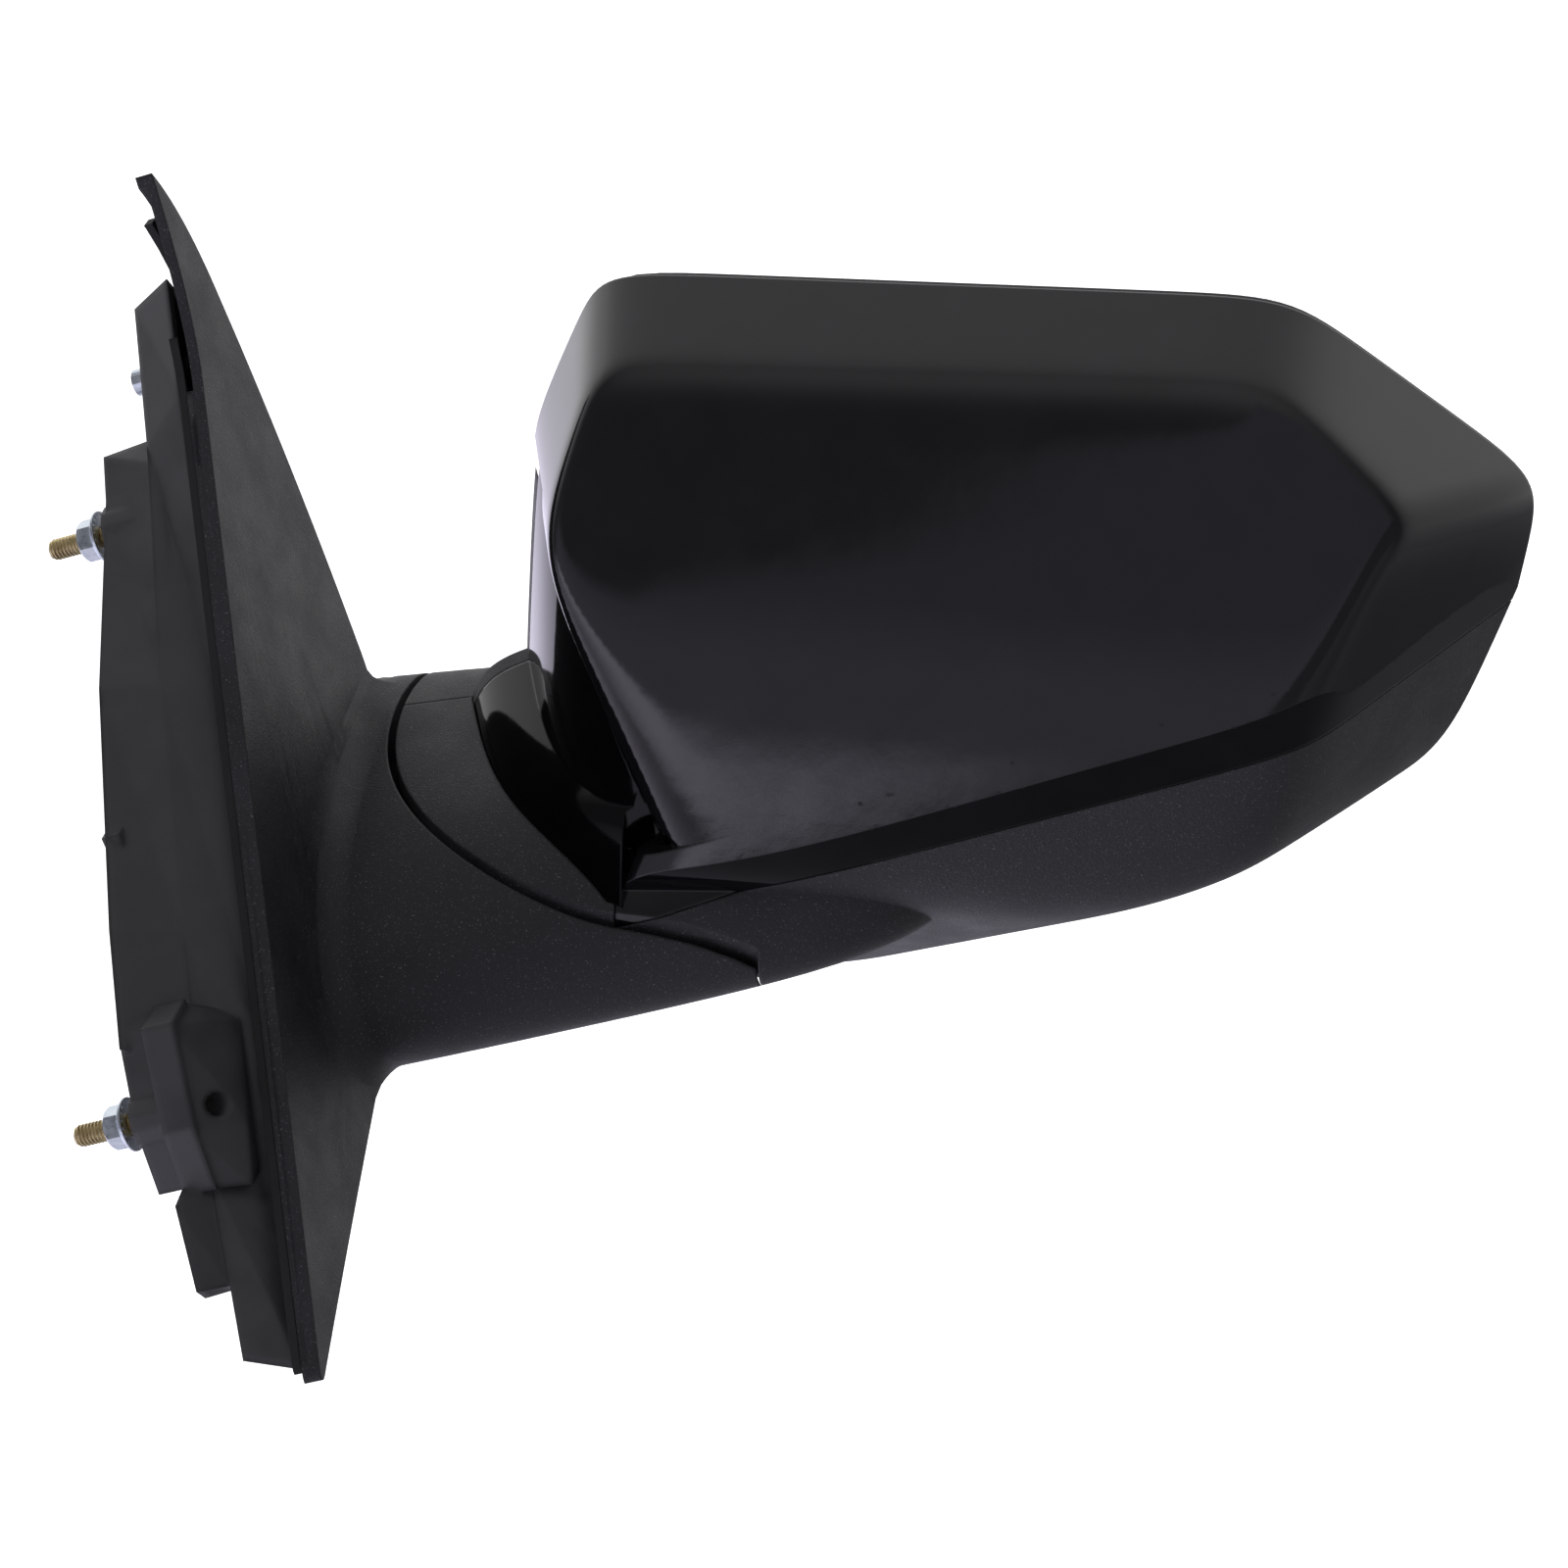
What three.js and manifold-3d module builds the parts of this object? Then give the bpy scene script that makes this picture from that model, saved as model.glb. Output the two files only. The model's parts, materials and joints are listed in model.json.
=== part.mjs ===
// Left-hand exterior door mirror. Millimetres; +X outboard, +Y rearward, +Z up.
// The origin lies on the door seat plane, midway between the upper and lower studs.
import * as THREE from "three";
import { mergeVertices } from "three/addons/utils/BufferGeometryUtils.js";
import Module from "manifold-3d";

const wasm = await Module();
wasm.setup();

// ---- driving dimensions ----
const TILT = 20; // lean of the door seat plane from the vertical, degrees
const CLEAR = 0.3; // gap between touching pieces
const SAIL_OUT = 38; // seat plane to the sail's outer face
const SAIL_WALL = 3;
const LIP = 5; // depth of the sail's edge band
const TRAY_LOW = 16; // seat plane to the step between block and tray
const STUDS = { upper: [73, 53], lower: [-53, -58], rear: [72, -44] };
const BLOCK_FROM = 1.2; // front face of the bracket block, behind the seat plane
const STUD_R = 2.95;
const NUT_AF = 10;
const NUT_FLANGE_R = 7.1;
const AXIS = [133, 91]; // fold axis, x and y
const BOWL_R = 77.6; // radius of the fold parting surface
const BOWL_FLOOR = -45;
const BOWL_EDGE = 24; // radius between its wall and floor
const BOWL_TOP = 60;
const FOLD_GAP = 2.2;
const POST_R = 6;
const SHELL = 2.6; // wall of the moulded head shells
const REAR = 88; // plane of the cover's rear rim
const BEZEL_REAR = 93.5;
const NECK_SPLIT = 92; // joint along the neck between lower cover and rear bezel
const PARTING_SLOPE = 19.3; // degrees
const PARTING_Z = -20.5;
const JAW_TOP = 19; // cover edge up to the crease
const CHIN_X = 130; // inboard end of the chin
const CHIN_BACK = 26; // rear end of the chin at the inboard side
const TOE_X = 168; // outboard end of the foot under the head
const TOE_GAP = 1.2;
const TOE_R = 32; // its rear corner, about the fold axis
const PIVOT = [226, 72, 44]; // centre the glass turns about
const GLASS_Y = 82; // front face of the glass
const LEVER = 30; // pivot to each adjusting jack
// Glass holder outline seen from behind, with corner radii: across, up, radius.
const GLASS = [
  [123, 112, 20], [123, 24, 18], [166, -26, 14], [206, -40, 14],
  [300, 4, 17], [326, 40, 16], [332, 84, 18], [294, 115, 20],
];

const rad = (deg) => (deg * Math.PI) / 180;
const group = new THREE.Group();

// ---- helpers ----
function solid(geometry, matrix) {
  const g = geometry.clone();
  g.deleteAttribute("normal");
  g.deleteAttribute("uv");
  if (matrix) g.applyMatrix4(matrix);
  const m = mergeVertices(g, 1e-4);
  const mesh = new wasm.Mesh({
    numProp: 3,
    vertProperties: new Float32Array(m.attributes.position.array),
    triVerts: new Uint32Array(m.index.array),
  });
  return new wasm.Manifold(mesh);
}

function geometryOf(made) {
  const m = made.getMesh();
  const g = new THREE.BufferGeometry();
  const points = new Float32Array(m.numVert * 3);
  for (let i = 0; i < m.numVert; i++) {
    points.set(m.vertProperties.subarray(i * m.numProp, i * m.numProp + 3), i * 3);
  }
  g.setAttribute("position", new THREE.BufferAttribute(points, 3));
  g.setIndex(new THREE.BufferAttribute(new Uint32Array(m.triVerts), 1));
  g.computeVertexNormals();
  return g;
}

const materials = {
  gloss_black: new THREE.MeshStandardMaterial({ color: 0x0b0b0d, roughness: 0.08 }),
  textured_black: new THREE.MeshStandardMaterial({ color: 0x1c1c1e, roughness: 0.6 }),
  moulded_black: new THREE.MeshStandardMaterial({ color: 0x222224, roughness: 0.55 }),
  seal_rubber: new THREE.MeshStandardMaterial({ color: 0x0d0d0d, roughness: 0.9 }),
  zinc: new THREE.MeshStandardMaterial({ color: 0x9fb0b8, roughness: 0.35, metalness: 1 }),
  yellow_zinc: new THREE.MeshStandardMaterial({ color: 0xb89a55, roughness: 0.35, metalness: 1 }),
  steel: new THREE.MeshStandardMaterial({ color: 0x8a8d90, roughness: 0.4, metalness: 1 }),
  mirror: new THREE.MeshStandardMaterial({ color: 0xc8ccd0, roughness: 0.02, metalness: 1 }),
  gear_plastic: new THREE.MeshStandardMaterial({ color: 0xd8d4c8, roughness: 0.5 }),
  cast_alloy: new THREE.MeshStandardMaterial({ color: 0x8f9296, roughness: 0.5, metalness: 1 }),
  heater_film: new THREE.MeshStandardMaterial({ color: 0x3a3330, roughness: 0.5 }),
};

function add(name, made, slot) {
  const mesh = new THREE.Mesh(geometryOf(made), materials[slot]);
  mesh.name = name;
  group.add(mesh);
}

function joined(list) {
  return list.reduce((all, one) => all.add(one));
}

function box(x0, x1, y0, y1, z0, z1) {
  const g = new THREE.BoxGeometry(x1 - x0, y1 - y0, z1 - z0);
  g.translate((x0 + x1) / 2, (y0 + y1) / 2, (z0 + z1) / 2);
  return solid(g);
}

// A round bar from one point to another.
function bar(from, to, radius, radius2 = radius, sides = 24) {
  const a = new THREE.Vector3(...from);
  const b = new THREE.Vector3(...to);
  const g = new THREE.CylinderGeometry(radius2, radius, a.distanceTo(b), sides);
  const turn = new THREE.Quaternion();
  turn.setFromUnitVectors(new THREE.Vector3(0, 1, 0), b.clone().sub(a).normalize());
  const m = new THREE.Matrix4().compose(
    a.clone().add(b).multiplyScalar(0.5),
    turn,
    new THREE.Vector3(1, 1, 1),
  );
  return solid(g, m);
}

function shapeOf(points) {
  return new THREE.Shape(points.map(([x, y]) => new THREE.Vector2(x, y)));
}

function extruded(shape, depth, matrix, steps = 6) {
  const g = new THREE.ExtrudeGeometry(shape, { depth, bevelEnabled: false, curveSegments: steps });
  return solid(g, matrix);
}

// Seat frame: shape x is rearward, shape y is up the door, depth is away from the door.
function seatMatrix(offset) {
  const c = Math.cos(rad(TILT));
  const s = Math.sin(rad(TILT));
  return new THREE.Matrix4().set(
    0, -s, c, c * offset,
    1, 0, 0, 0,
    0, c, s, s * offset,
    0, 0, 0, 1,
  );
}

function seatPoint(y, up, out) {
  return new THREE.Vector3(y, up, out).applyMatrix4(seatMatrix(0)).toArray();
}

function seatSlab(shape, from, to, steps) {
  return extruded(shape, to - from, seatMatrix(from), steps);
}

function seatBar(y, up, from, to, radius, radius2 = radius, sides = 24) {
  return bar(seatPoint(y, up, from), seatPoint(y, up, to), radius, radius2, sides);
}

// Polygon with its corners rounded by quadratic curves; each corner is [x, y, radius].
function roundedShape(corners) {
  const shape = new THREE.Shape();
  const n = corners.length;
  corners.forEach(([x, y, r], i) => {
    const here = new THREE.Vector2(x, y);
    const before = new THREE.Vector2(...corners[(i + n - 1) % n]).sub(here).normalize();
    const after = new THREE.Vector2(...corners[(i + 1) % n]).sub(here).normalize();
    const start = here.clone().addScaledVector(before, r);
    const end = here.clone().addScaledVector(after, r);
    if (i === 0) shape.moveTo(start.x, start.y);
    else shape.lineTo(start.x, start.y);
    if (r > 0) shape.quadraticCurveTo(x, y, end.x, end.y);
  });
  return shape;
}

// Unit vector from an azimuth, 0 forward and 90 outboard, and an elevation.
function facing(azimuth, elevation) {
  const flat = Math.cos(rad(elevation));
  return new THREE.Vector3(
    Math.sin(rad(azimuth)) * flat,
    -Math.cos(rad(azimuth)) * flat,
    Math.sin(rad(elevation)),
  );
}

// A rounded polyhedron: each face is [azimuth, elevation, distance from the centre].
// Larger powers give sharper edges. Shrink moves every face inwards.
function roundedBody({ centre, faces, power }, shrink = 0, around = 44, along = 24) {
  const planes = faces.map(([azimuth, elevation, d]) => ({
    n: facing(azimuth, elevation),
    d: d - shrink,
  }));
  const radius = (dir) => {
    let sum = 0;
    for (const { n, d } of planes) sum += Math.max(0, n.dot(dir) / d) ** power;
    return sum ** (-1 / power);
  };
  const g = new THREE.SphereGeometry(1, around, along);
  g.rotateX(Math.PI / 2);
  const p = g.attributes.position;
  const dir = new THREE.Vector3();
  for (let i = 0; i < p.count; i++) {
    dir.fromBufferAttribute(p, i).normalize();
    const r = radius(dir);
    p.setXYZ(i, centre[0] + dir.x * r, centre[1] + dir.y * r, centre[2] + dir.z * r);
  }
  return solid(g);
}

// ---- head and arm forms ----
const HEAD_C = [232, 66, 52];
const HEAD = {
  centre: HEAD_C,
  power: 22,
  faces: [
    [0, 23, 42], // upper front
    [0, 11, 42], // lower front
    [-1, 44, 69], // brow
    [-6, 73, 71], // roof
    [66, 53, 94.5], // outboard shoulder
    [82, -11, 120], // tip
    [53, -6, 86], // outboard cheek
    [82, -43, 116], // under the tip
    [-75, -23, 111.5], // inboard side
    [-73, 22, 128.5], // inboard shoulder
    [72, -72, 120], // underside
    [180, 0, 190], // rear, cut off later
  ],
};
// The jaw is the head with its inboard side moved out.
const JAW = {
  centre: HEAD_C,
  power: 22,
  faces: [...HEAD.faces.filter(([azimuth]) => azimuth > -70), [-81, 25, 70]],
};
const KEEL = {
  centre: HEAD_C,
  power: 16,
  faces: [
    [8, -10, 52], // front below the crease
    [4, -49, 78], // chin
    [63, -60, 84], // underside
    [56, -15, 85], // outboard flank
    [78, -44, 113], // outboard underside
    [90, 0, 260], // outboard, clear of the head
    [-90, 0, 260], // inboard, clear of the head
    [6, 24, 120], // front, clear of the head
    [180, 72, 200], // top, clear of the head
    [180, 0, 190], // rear, cut off later
  ],
};
const ARM = {
  centre: [110, 52, -38],
  power: 5,
  faces: [
    [-53, 74, 37.5], // top
    [12, 3, 53.5], // front
    [-6, 44, 43], // front shoulder
    [86, -74, 24], // underside
    [21, -49, 46.5], // front chine
    [174, -8, 58.5], // rear
    [90, 0, 110], // outboard end
    [-90, 0, 150], // inboard end
  ],
};
const CHEEK = {
  centre: [160, 75, 50],
  power: 9,
  faces: [
    [-72, 3, 59], // side
    [-43, 13, 51], // front corner
    [-74, 43, 78], // shoulder
    [0, 90, 90], // top
    [0, -90, 58], // bottom
    [0, 0, 60], // front
    [90, 0, 12], // outboard end
    [180, 0, 60], // rear
  ],
};
const TOE = {
  centre: [130, 75, -12],
  power: 9,
  faces: [
    [-72, 12, 49], // side
    [-48, 9, 50], // front corner
    [-27, 7, 54], // front
    [-54, 64, 34], // top
    [0, -90, 30], // bottom
    [90, 0, 14], // outboard end
    [180, 0, 60], // rear
  ],
};

// Everything below the sloping plane of the cover's lower edge, or a raised copy of it.
function sloped(raise) {
  const m = new THREE.Matrix4().makeRotationY(rad(-PARTING_SLOPE));
  m.setPosition(new THREE.Vector3(139, 0, PARTING_Z + raise));
  const g = new THREE.BoxGeometry(700, 700, 200);
  g.translate(0, 0, -100);
  return solid(g, m);
}

function headForm(shrink, around = 30, along = 16) {
  const keel = roundedBody(KEEL, shrink, around, along);
  const skull = roundedBody(HEAD, shrink, around, along).intersect(keel);
  const jaw = roundedBody(JAW, shrink, around, along).intersect(keel);
  return skull.add(jaw.intersect(sloped(JAW_TOP - shrink)));
}

function armForm(shrink) {
  return roundedBody(ARM, shrink, 24, 14);
}

function trimForm(shrink, open = 0) {
  const faces = CHEEK.faces.map(([a, e, d]) => [a, e, a === 90 ? d + open : d]);
  const cheek = roundedBody({ ...CHEEK, faces }, shrink, 16, 10);
  const toe = roundedBody(TOE, shrink, 16, 10);
  return cheek.add(toe.intersect(box(0, 200, -60, 200, -17 + shrink, 60)));
}

// Closed turned piece about a vertical line; the profile is radius and height.
function lathed(profile, x, y, sides = 32) {
  const points = profile.map(([r, z]) => new THREE.Vector2(r, z));
  if (profile[0][0] > 0) points.push(points[0].clone());
  const g = new THREE.LatheGeometry(points, sides);
  g.rotateX(Math.PI / 2);
  g.translate(x, y, 0);
  return solid(g);
}

function ring(inner, outer, z0, z1, sides = 24) {
  const profile = [[inner, z0], [outer, z0], [outer, z1], [inner, z1]];
  return lathed(profile, AXIS[0], AXIS[1], sides);
}

// Profile of the space under the neck, from its wall round to its floor: distance from the axis, height.
function bowlProfile(grow) {
  const r = BOWL_R + grow;
  const floor = BOWL_FLOOR - grow;
  const edge = BOWL_EDGE + grow;
  const profile = [[0, floor]];
  for (let i = 0; i <= 4; i++) {
    const a = (i / 4) * (Math.PI / 2);
    profile.push([r - edge + edge * Math.sin(a), floor + edge - edge * Math.cos(a)]);
  }
  return [...profile, [r, BOWL_TOP], [0, BOWL_TOP]];
}

// Turned about the fold axis, then straight on outboard.
function bowl(grow) {
  const profile = bowlProfile(grow);
  const flipped = profile.map(([r, z]) => [AXIS[1] - r, z]).reverse();
  const m = new THREE.Matrix4().set(0, 0, 1, AXIS[0], 1, 0, 0, 0, 0, 1, 0, 0, 0, 0, 0, 1);
  const trough = extruded(shapeOf(flipped), 260, m, 1);
  return lathed(profile, AXIS[0], AXIS[1], 36).add(trough);
}

function neckSpace(grow) {
  return bowl(grow).add(box(TOE_X - grow, 400, -60, 200, -120, 60));
}

// Space open to the foot's toe: a flat end under the head, rounded about the fold axis at the rear.
function toeSpace(grow) {
  const end = TOE_X - TOE_GAP + grow;
  const rear = bar([...AXIS, -200], [...AXIS, 100], TOE_R + grow, TOE_R + grow, 32);
  const front = box(-200, end, -200, AXIS[1], -200, 200);
  return front.add(box(-200, AXIS[0], 0, 300, -200, 200)).add(rear.intersect(box(0, end, 0, 300, -200, 200)));
}

// Space the head may fill: all of it above the foot, and below only past the toe.
function aboveFoot(grow) {
  return box(-300, 600, -300, 300, BOWL_FLOOR - grow, 300).add(box(TOE_X - grow, 600, -300, 300, -200, 300));
}

const fore = (y) => box(-200, 500, -200, y, -300, 300);
const aft = (y) => box(-200, 500, y, 400, -300, 300);

// The inboard wall behind the cover's edge, which the inner trim closes.
function inboardWindow(grow) {
  const normal = facing(-75, -23);
  const turn = new THREE.Quaternion();
  turn.setFromUnitVectors(new THREE.Vector3(1, 0, 0), normal);
  const at = new THREE.Vector3(...HEAD_C).addScaledVector(normal, 105.5 - grow);
  const slab = new THREE.BoxGeometry(200, 600, 600);
  slab.translate(100, 0, 0);
  const m = new THREE.Matrix4().compose(at, turn, new THREE.Vector3(1, 1, 1));
  const behind = new THREE.BoxGeometry(800, 400, 800);
  behind.translate(0, 200, 0);
  const lean = new THREE.Matrix4().makeRotationX(rad(-29));
  lean.setPosition(new THREE.Vector3(110, 14 - grow, 0));
  return solid(slab, m).intersect(solid(behind, lean));
}

// ---- shared solids ----
const head = headForm(0);
const headIn = headForm(SHELL);
const arm = armForm(0);
const armIn = armForm(SHELL);
const trim = trimForm(0);
const trimIn = trimForm(SHELL, 120);
const outboard = seatSlab(shapeOf([[-300, -300], [300, -300], [300, 300], [-300, 300]]),
  SAIL_OUT - SAIL_WALL, 400, 1);

// The head with the front of the neck added under its inboard end, where the chin meets the neck.
function chinned(shrink) {
  const corner = box(CHIN_X + CLEAR + shrink, 182, -100, 30 - shrink, -60, 30);
  return headForm(shrink).add(armForm(shrink).intersect(corner).intersect(neckSpace(-shrink)));
}

// The place the cover takes up, with clearance all round.
function coverPlace(gap) {
  const wall = chinned(-gap).subtract(chinned(SHELL + gap));
  const window = inboardWindow(-gap).subtract(sloped(JAW_TOP));
  const chinEnd = box(-100, 160, CHIN_BACK + gap, 400, -200, 200).intersect(sloped(JAW_TOP + 0.01));
  const edges = fore(REAR + gap).subtract(sloped(-gap)).subtract(window).subtract(chinEnd);
  return wall.intersect(edges);
}
const coverSeat = coverPlace(CLEAR);

// ---- head shells ----
function makeCover() {
  return joined([coverPlace(0), ...COVER_SCREWS.map(coverPost)]);
}

// The step in the neck that takes the end of the chin.
function underChin(grow) {
  return box(CHIN_X - grow, 182, -100, 30 + grow, -100, 100).subtract(sloped(-CLEAR - grow));
}

function makeLowerCover() {
  const hull = head.intersect(sloped(-CLEAR)).intersect(fore(REAR)).intersect(aboveFoot(0));
  const neck = arm.intersect(neckSpace(0)).intersect(fore(NECK_SPLIT)).subtract(underChin(0));
  const neckIn = armIn.intersect(neckSpace(-SHELL)).subtract(underChin(SHELL));
  const hollow = headIn.subtract(underChin(SHELL).intersect(arm)).add(neckIn).add(trimForm(-CLEAR));
  const post = ring(0, 17, -60, -30);
  return largest(hull.add(neck).subtract(hollow).subtract(coverSeat).subtract(post));
}

function makeTrim() {
  const shell = trim.subtract(trimIn).subtract(armForm(5)).subtract(box(0, 400, -90, 200, -90, -26));
  const clearOfCover = shell.subtract(coverSeat).subtract(aft(REAR));
  const inside = head.add(box(0, 132, -60, 200, -60, 18)).add(box(0, 150, 20, 200, -60, 120));
  return largest(clearOfCover.intersect(inside));
}

function largest(made) {
  const bodies = made.decompose();
  return bodies.reduce((a, b) => (a.volume() > b.volume() ? a : b));
}

// Plate of the glass outline, moved inwards by inset.
function glassForm(inset, y0, y1) {
  const edge = insetOutline(GLASS.map(([x, z]) => [x, z]), inset);
  const outline = roundedShape(edge.map(([x, z], i) => [x, z, GLASS[i][2] - inset / 2]));
  return frontPlate(outline, y0, y1, 3);
}

function makeBezel() {
  const slot = headForm(SHELL + 2 * CLEAR);
  const cheek = trimForm(0).subtract(head).intersect(box(0, 200, REAR + CLEAR, BEZEL_REAR, -100, 200));
  const rim = slot.intersect(box(0, 400, REAR - 8, BEZEL_REAR, -200, 200)).add(cheek).intersect(aboveFoot(0));
  const rump = box(0, 168, NECK_SPLIT + CLEAR, 130, -100, 60);
  const neck = arm.intersect(neckSpace(0)).intersect(rump);
  const neckIn = armIn.intersect(neckSpace(-SHELL)).subtract(box(165, 400, 0, 200, -100, 100));
  const inner = headForm(SHELL * 2 + CLEAR).add(trimIn).intersect(fore(BEZEL_REAR - SHELL));
  const well = glassForm(-5.4, 82, BEZEL_REAR - 0.5);
  const hole = glassForm(-3, 60, 140);
  const back = rim.add(neck.subtract(box(-50, 400, 0, BEZEL_REAR, 0, 200))).subtract(inner).subtract(neckIn);
  const clear = trimForm(-CLEAR).intersect(fore(REAR + CLEAR));
  return largest(back.add(well).subtract(hole).subtract(clear).subtract(ring(0, 17, -60, -4)));
}

// ---- base ----
// Closed body between two outlines with the same number of points, in the seat frame.
function seatLoft(low, high, from, to) {
  const n = low.length;
  const flat = THREE.ShapeUtils.triangulateShape(shapeOf(low).getPoints(), []);
  const points = [...low.map(([x, y]) => [x, y, from]), ...high.map(([x, y]) => [x, y, to])];
  const faces = [];
  for (const [a, b, c] of flat) faces.push([a, c, b], [a + n, b + n, c + n]);
  for (let i = 0; i < n; i++) {
    const j = (i + 1) % n;
    faces.push([i, j, j + n], [i, j + n, i + n]);
  }
  const g = new THREE.BufferGeometry();
  g.setAttribute("position", new THREE.Float32BufferAttribute(points.flat(), 3));
  g.setIndex(faces.flat());
  return solid(g, seatMatrix(0));
}

const LOWER_PAD = [[-34, -75], [-34, -36], [-46, -36], [-59, -58], [-62, -75]];
const PANEL = [
  [[-38, -75], [-38, -34], [-50, -34], [-63, -58], [-66, -75]],
  [[-38, -78], [-22, -50], [-30, -47], [-50, -66], [-62, -78]],
];

function shrunk(outline, by) {
  const mid = outline.reduce(([a, b], [x, y]) => [a + x / outline.length, b + y / outline.length], [0, 0]);
  return outline.map(([x, y]) => {
    const far = Math.hypot(x - mid[0], y - mid[1]);
    return [x - ((x - mid[0]) / far) * by, y - ((y - mid[1]) / far) * by];
  });
}

// Sail outline, rearward and up the door.
function sailShape() {
  const shape = new THREE.Shape();
  shape.moveTo(-94, -116);
  shape.quadraticCurveTo(-98, -121, -91, -118.5);
  shape.quadraticCurveTo(0, -92, 98, -68);
  shape.lineTo(108, -12);
  shape.quadraticCurveTo(115, 45, 113.5, 95);
  shape.quadraticCurveTo(113.5, 122, 104, 137);
  shape.quadraticCurveTo(95, 101, 80, 84);
  shape.closePath();
  return shape;
}

function sailOutline(inset) {
  return shapeOf(shrunk(sailShape().getPoints(5).slice(0, -1).map(({ x, y }) => [x, y]), inset));
}

function sailRing(outer, inner, from, to) {
  return seatSlab(sailOutline(outer), from, to).subtract(seatSlab(sailOutline(inner), from - 1, to + 1));
}

function screwBoss(y, up) {
  return seatBar(y, up, 20, SAIL_OUT - 1, 4, 4, 16).subtract(seatBar(y, up, 15, 32, 1.5, 1.5, 12));
}

const BASE_SCREWS = [[98, 84], [-61, -100], [95, 14]];
const OUTLET = [30, -40]; // grommet for the harness: y, up

function makeBaseCover() {
  const plate = seatSlab(sailOutline(0), SAIL_OUT - SAIL_WALL, SAIL_OUT).subtract(armIn);
  const lip = sailRing(0, 2.4, SAIL_OUT - LIP, SAIL_OUT - 1).subtract(armIn);
  const outer = arm.intersect(toeSpace(0));
  const inner = armIn.intersect(toeSpace(-SHELL)).subtract(bowl(FOLD_GAP + SHELL));
  const foot = outer.subtract(inner).intersect(outboard).subtract(neckSpace(FOLD_GAP));
  const bosses = BASE_SCREWS.map(([y, up]) => screwBoss(y, up));
  const door = ring(0, 12.4, -60, BOWL_FLOOR);
  return largest(joined([plate, lip, foot.subtract(door), ...bosses]));
}

const TRAY = [
  [[108, 101], [80, 72], [28, 25], [-19, -24], [-62, -73], [-88, -113], [100, -64], [110, 92]],
  [[104, 108], [82.5, 83], [31, 18], [-29, -50], [-69, -100], [-88, -119], [96, -66], [110, 98]],
];
const BLOCK = [
  [
    [84, 71], [74, 62], [24, 30], [-28, -15], [-50, -38],
    [-44, -46], [-56, -68], [80, -60], [82, 40], [90, 62],
  ],
  [
    [88, 71], [78, 68], [28, 25], [-19, -24], [-38, -45],
    [-40, -52], [-56, -70], [83, -62], [85, 40], [92, 66],
  ],
];
const HEEL = [
  [[-66, -73], [-73, -73.5], [-82, -94], [-79, -98], [-50, -90], [-45, -73]],
  [[-60, -73], [-62, -75], [-77, -97], [-74, -100], [-50, -92], [-45, -73]],
];

// Straight-sided outline moved inwards by a fixed distance.
function insetOutline(outline, by) {
  const n = outline.length;
  const turn = Math.sign(THREE.ShapeUtils.area(outline.map(([x, y]) => new THREE.Vector2(x, y))));
  const edges = outline.map(([x, y], i) => {
    const [u, v] = outline[(i + 1) % n];
    const length = Math.hypot(u - x, v - y);
    const [dx, dy] = [(u - x) / length, (v - y) / length];
    return { x: x - dy * by * turn, y: y + dx * by * turn, dx, dy };
  });
  return edges.map((b, i) => {
    const a = edges[(i + n - 1) % n];
    const t = ((b.x - a.x) * b.dy - (b.y - a.y) * b.dx) / (a.dx * b.dy - a.dy * b.dx);
    return [a.x + a.dx * t, a.y + a.dy * t];
  });
}

// A loft, and the space inside it above a floor.
function hollowLoft([low, high], from, to, wall, floor = 3) {
  const inLow = insetOutline(low, wall);
  const inHigh = insetOutline(high, wall);
  const at = (k) => inLow.map(([x, y], i) => [x + (inHigh[i][0] - x) * k, y + (inHigh[i][1] - y) * k]);
  const step = floor / (to - from);
  return [seatLoft(low, high, from, to), seatLoft(at(step), at(1 + step), from + floor, to + floor)];
}

function studHole([y, up], radius, from = -5, to = 40) {
  return seatBar(y, up, from, to, radius, radius, 12);
}

function makeBracket() {
  const [tray, trayIn] = hollowLoft(TRAY, TRAY_LOW, 30, 2.7);
  const [block, blockIn] = hollowLoft(BLOCK, BLOCK_FROM, TRAY_LOW + 0.01, 2.6);
  const rise = seatLoft(insetOutline(PANEL[0], 0.4), PANEL[1], 16.5, 26);
  const panel = seatLoft(PANEL[0], PANEL[0], 9, 18).add(rise);
  const heel = seatLoft(HEEL[0], HEEL[1], 9, TRAY_LOW + 0.01);
  const pads = Object.values(STUDS).map((at) => studHole(at, 7.6, 0, 13));
  const land = seatSlab(shapeOf([[-8, -16], [20, -16], [20, 2], [-8, 2]]), 0, 5, 1);
  const foot = seatLoft(LOWER_PAD, LOWER_PAD, 0.4, 9.5);
  const ribSpace = hollowLoft(BLOCK, BLOCK_FROM, TRAY_LOW + 0.01, 1.3, 2)[1];
  const ribs = [-36, 10, 56].map((y) => {
    const strip = shapeOf([[y, -110], [y + 2.2, -110], [y + 2.2, 100], [y, 100]]);
    return seatSlab(strip, 3.5, 18, 1).intersect(ribSpace);
  });
  const shell = joined([tray, block, panel, heel]).subtract(trayIn).subtract(blockIn);
  const screws = BASE_SCREWS.map(([y, up]) => studHole([y, up], 2.1, 10, 30));
  const wells = BASE_SCREWS.map(([y, up]) => studHole([y, up], 4.6, 18.7, 32));
  const studs = Object.values(STUDS).map((at) => studHole(at, STUD_R + CLEAR));
  const heads = Object.values(STUDS).map((at) => studHole(at, 6.6, 13, at === STUDS.lower ? 16.8 : 24));
  const cuts = [...screws, ...wells, ...studs, ...heads, studHole(OUTLET, 9.3, -4, 12)];
  const whole = joined([shell, ...pads, land, foot, ...ribs]);
  return largest(whole.subtract(joined(cuts)));
}

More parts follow.
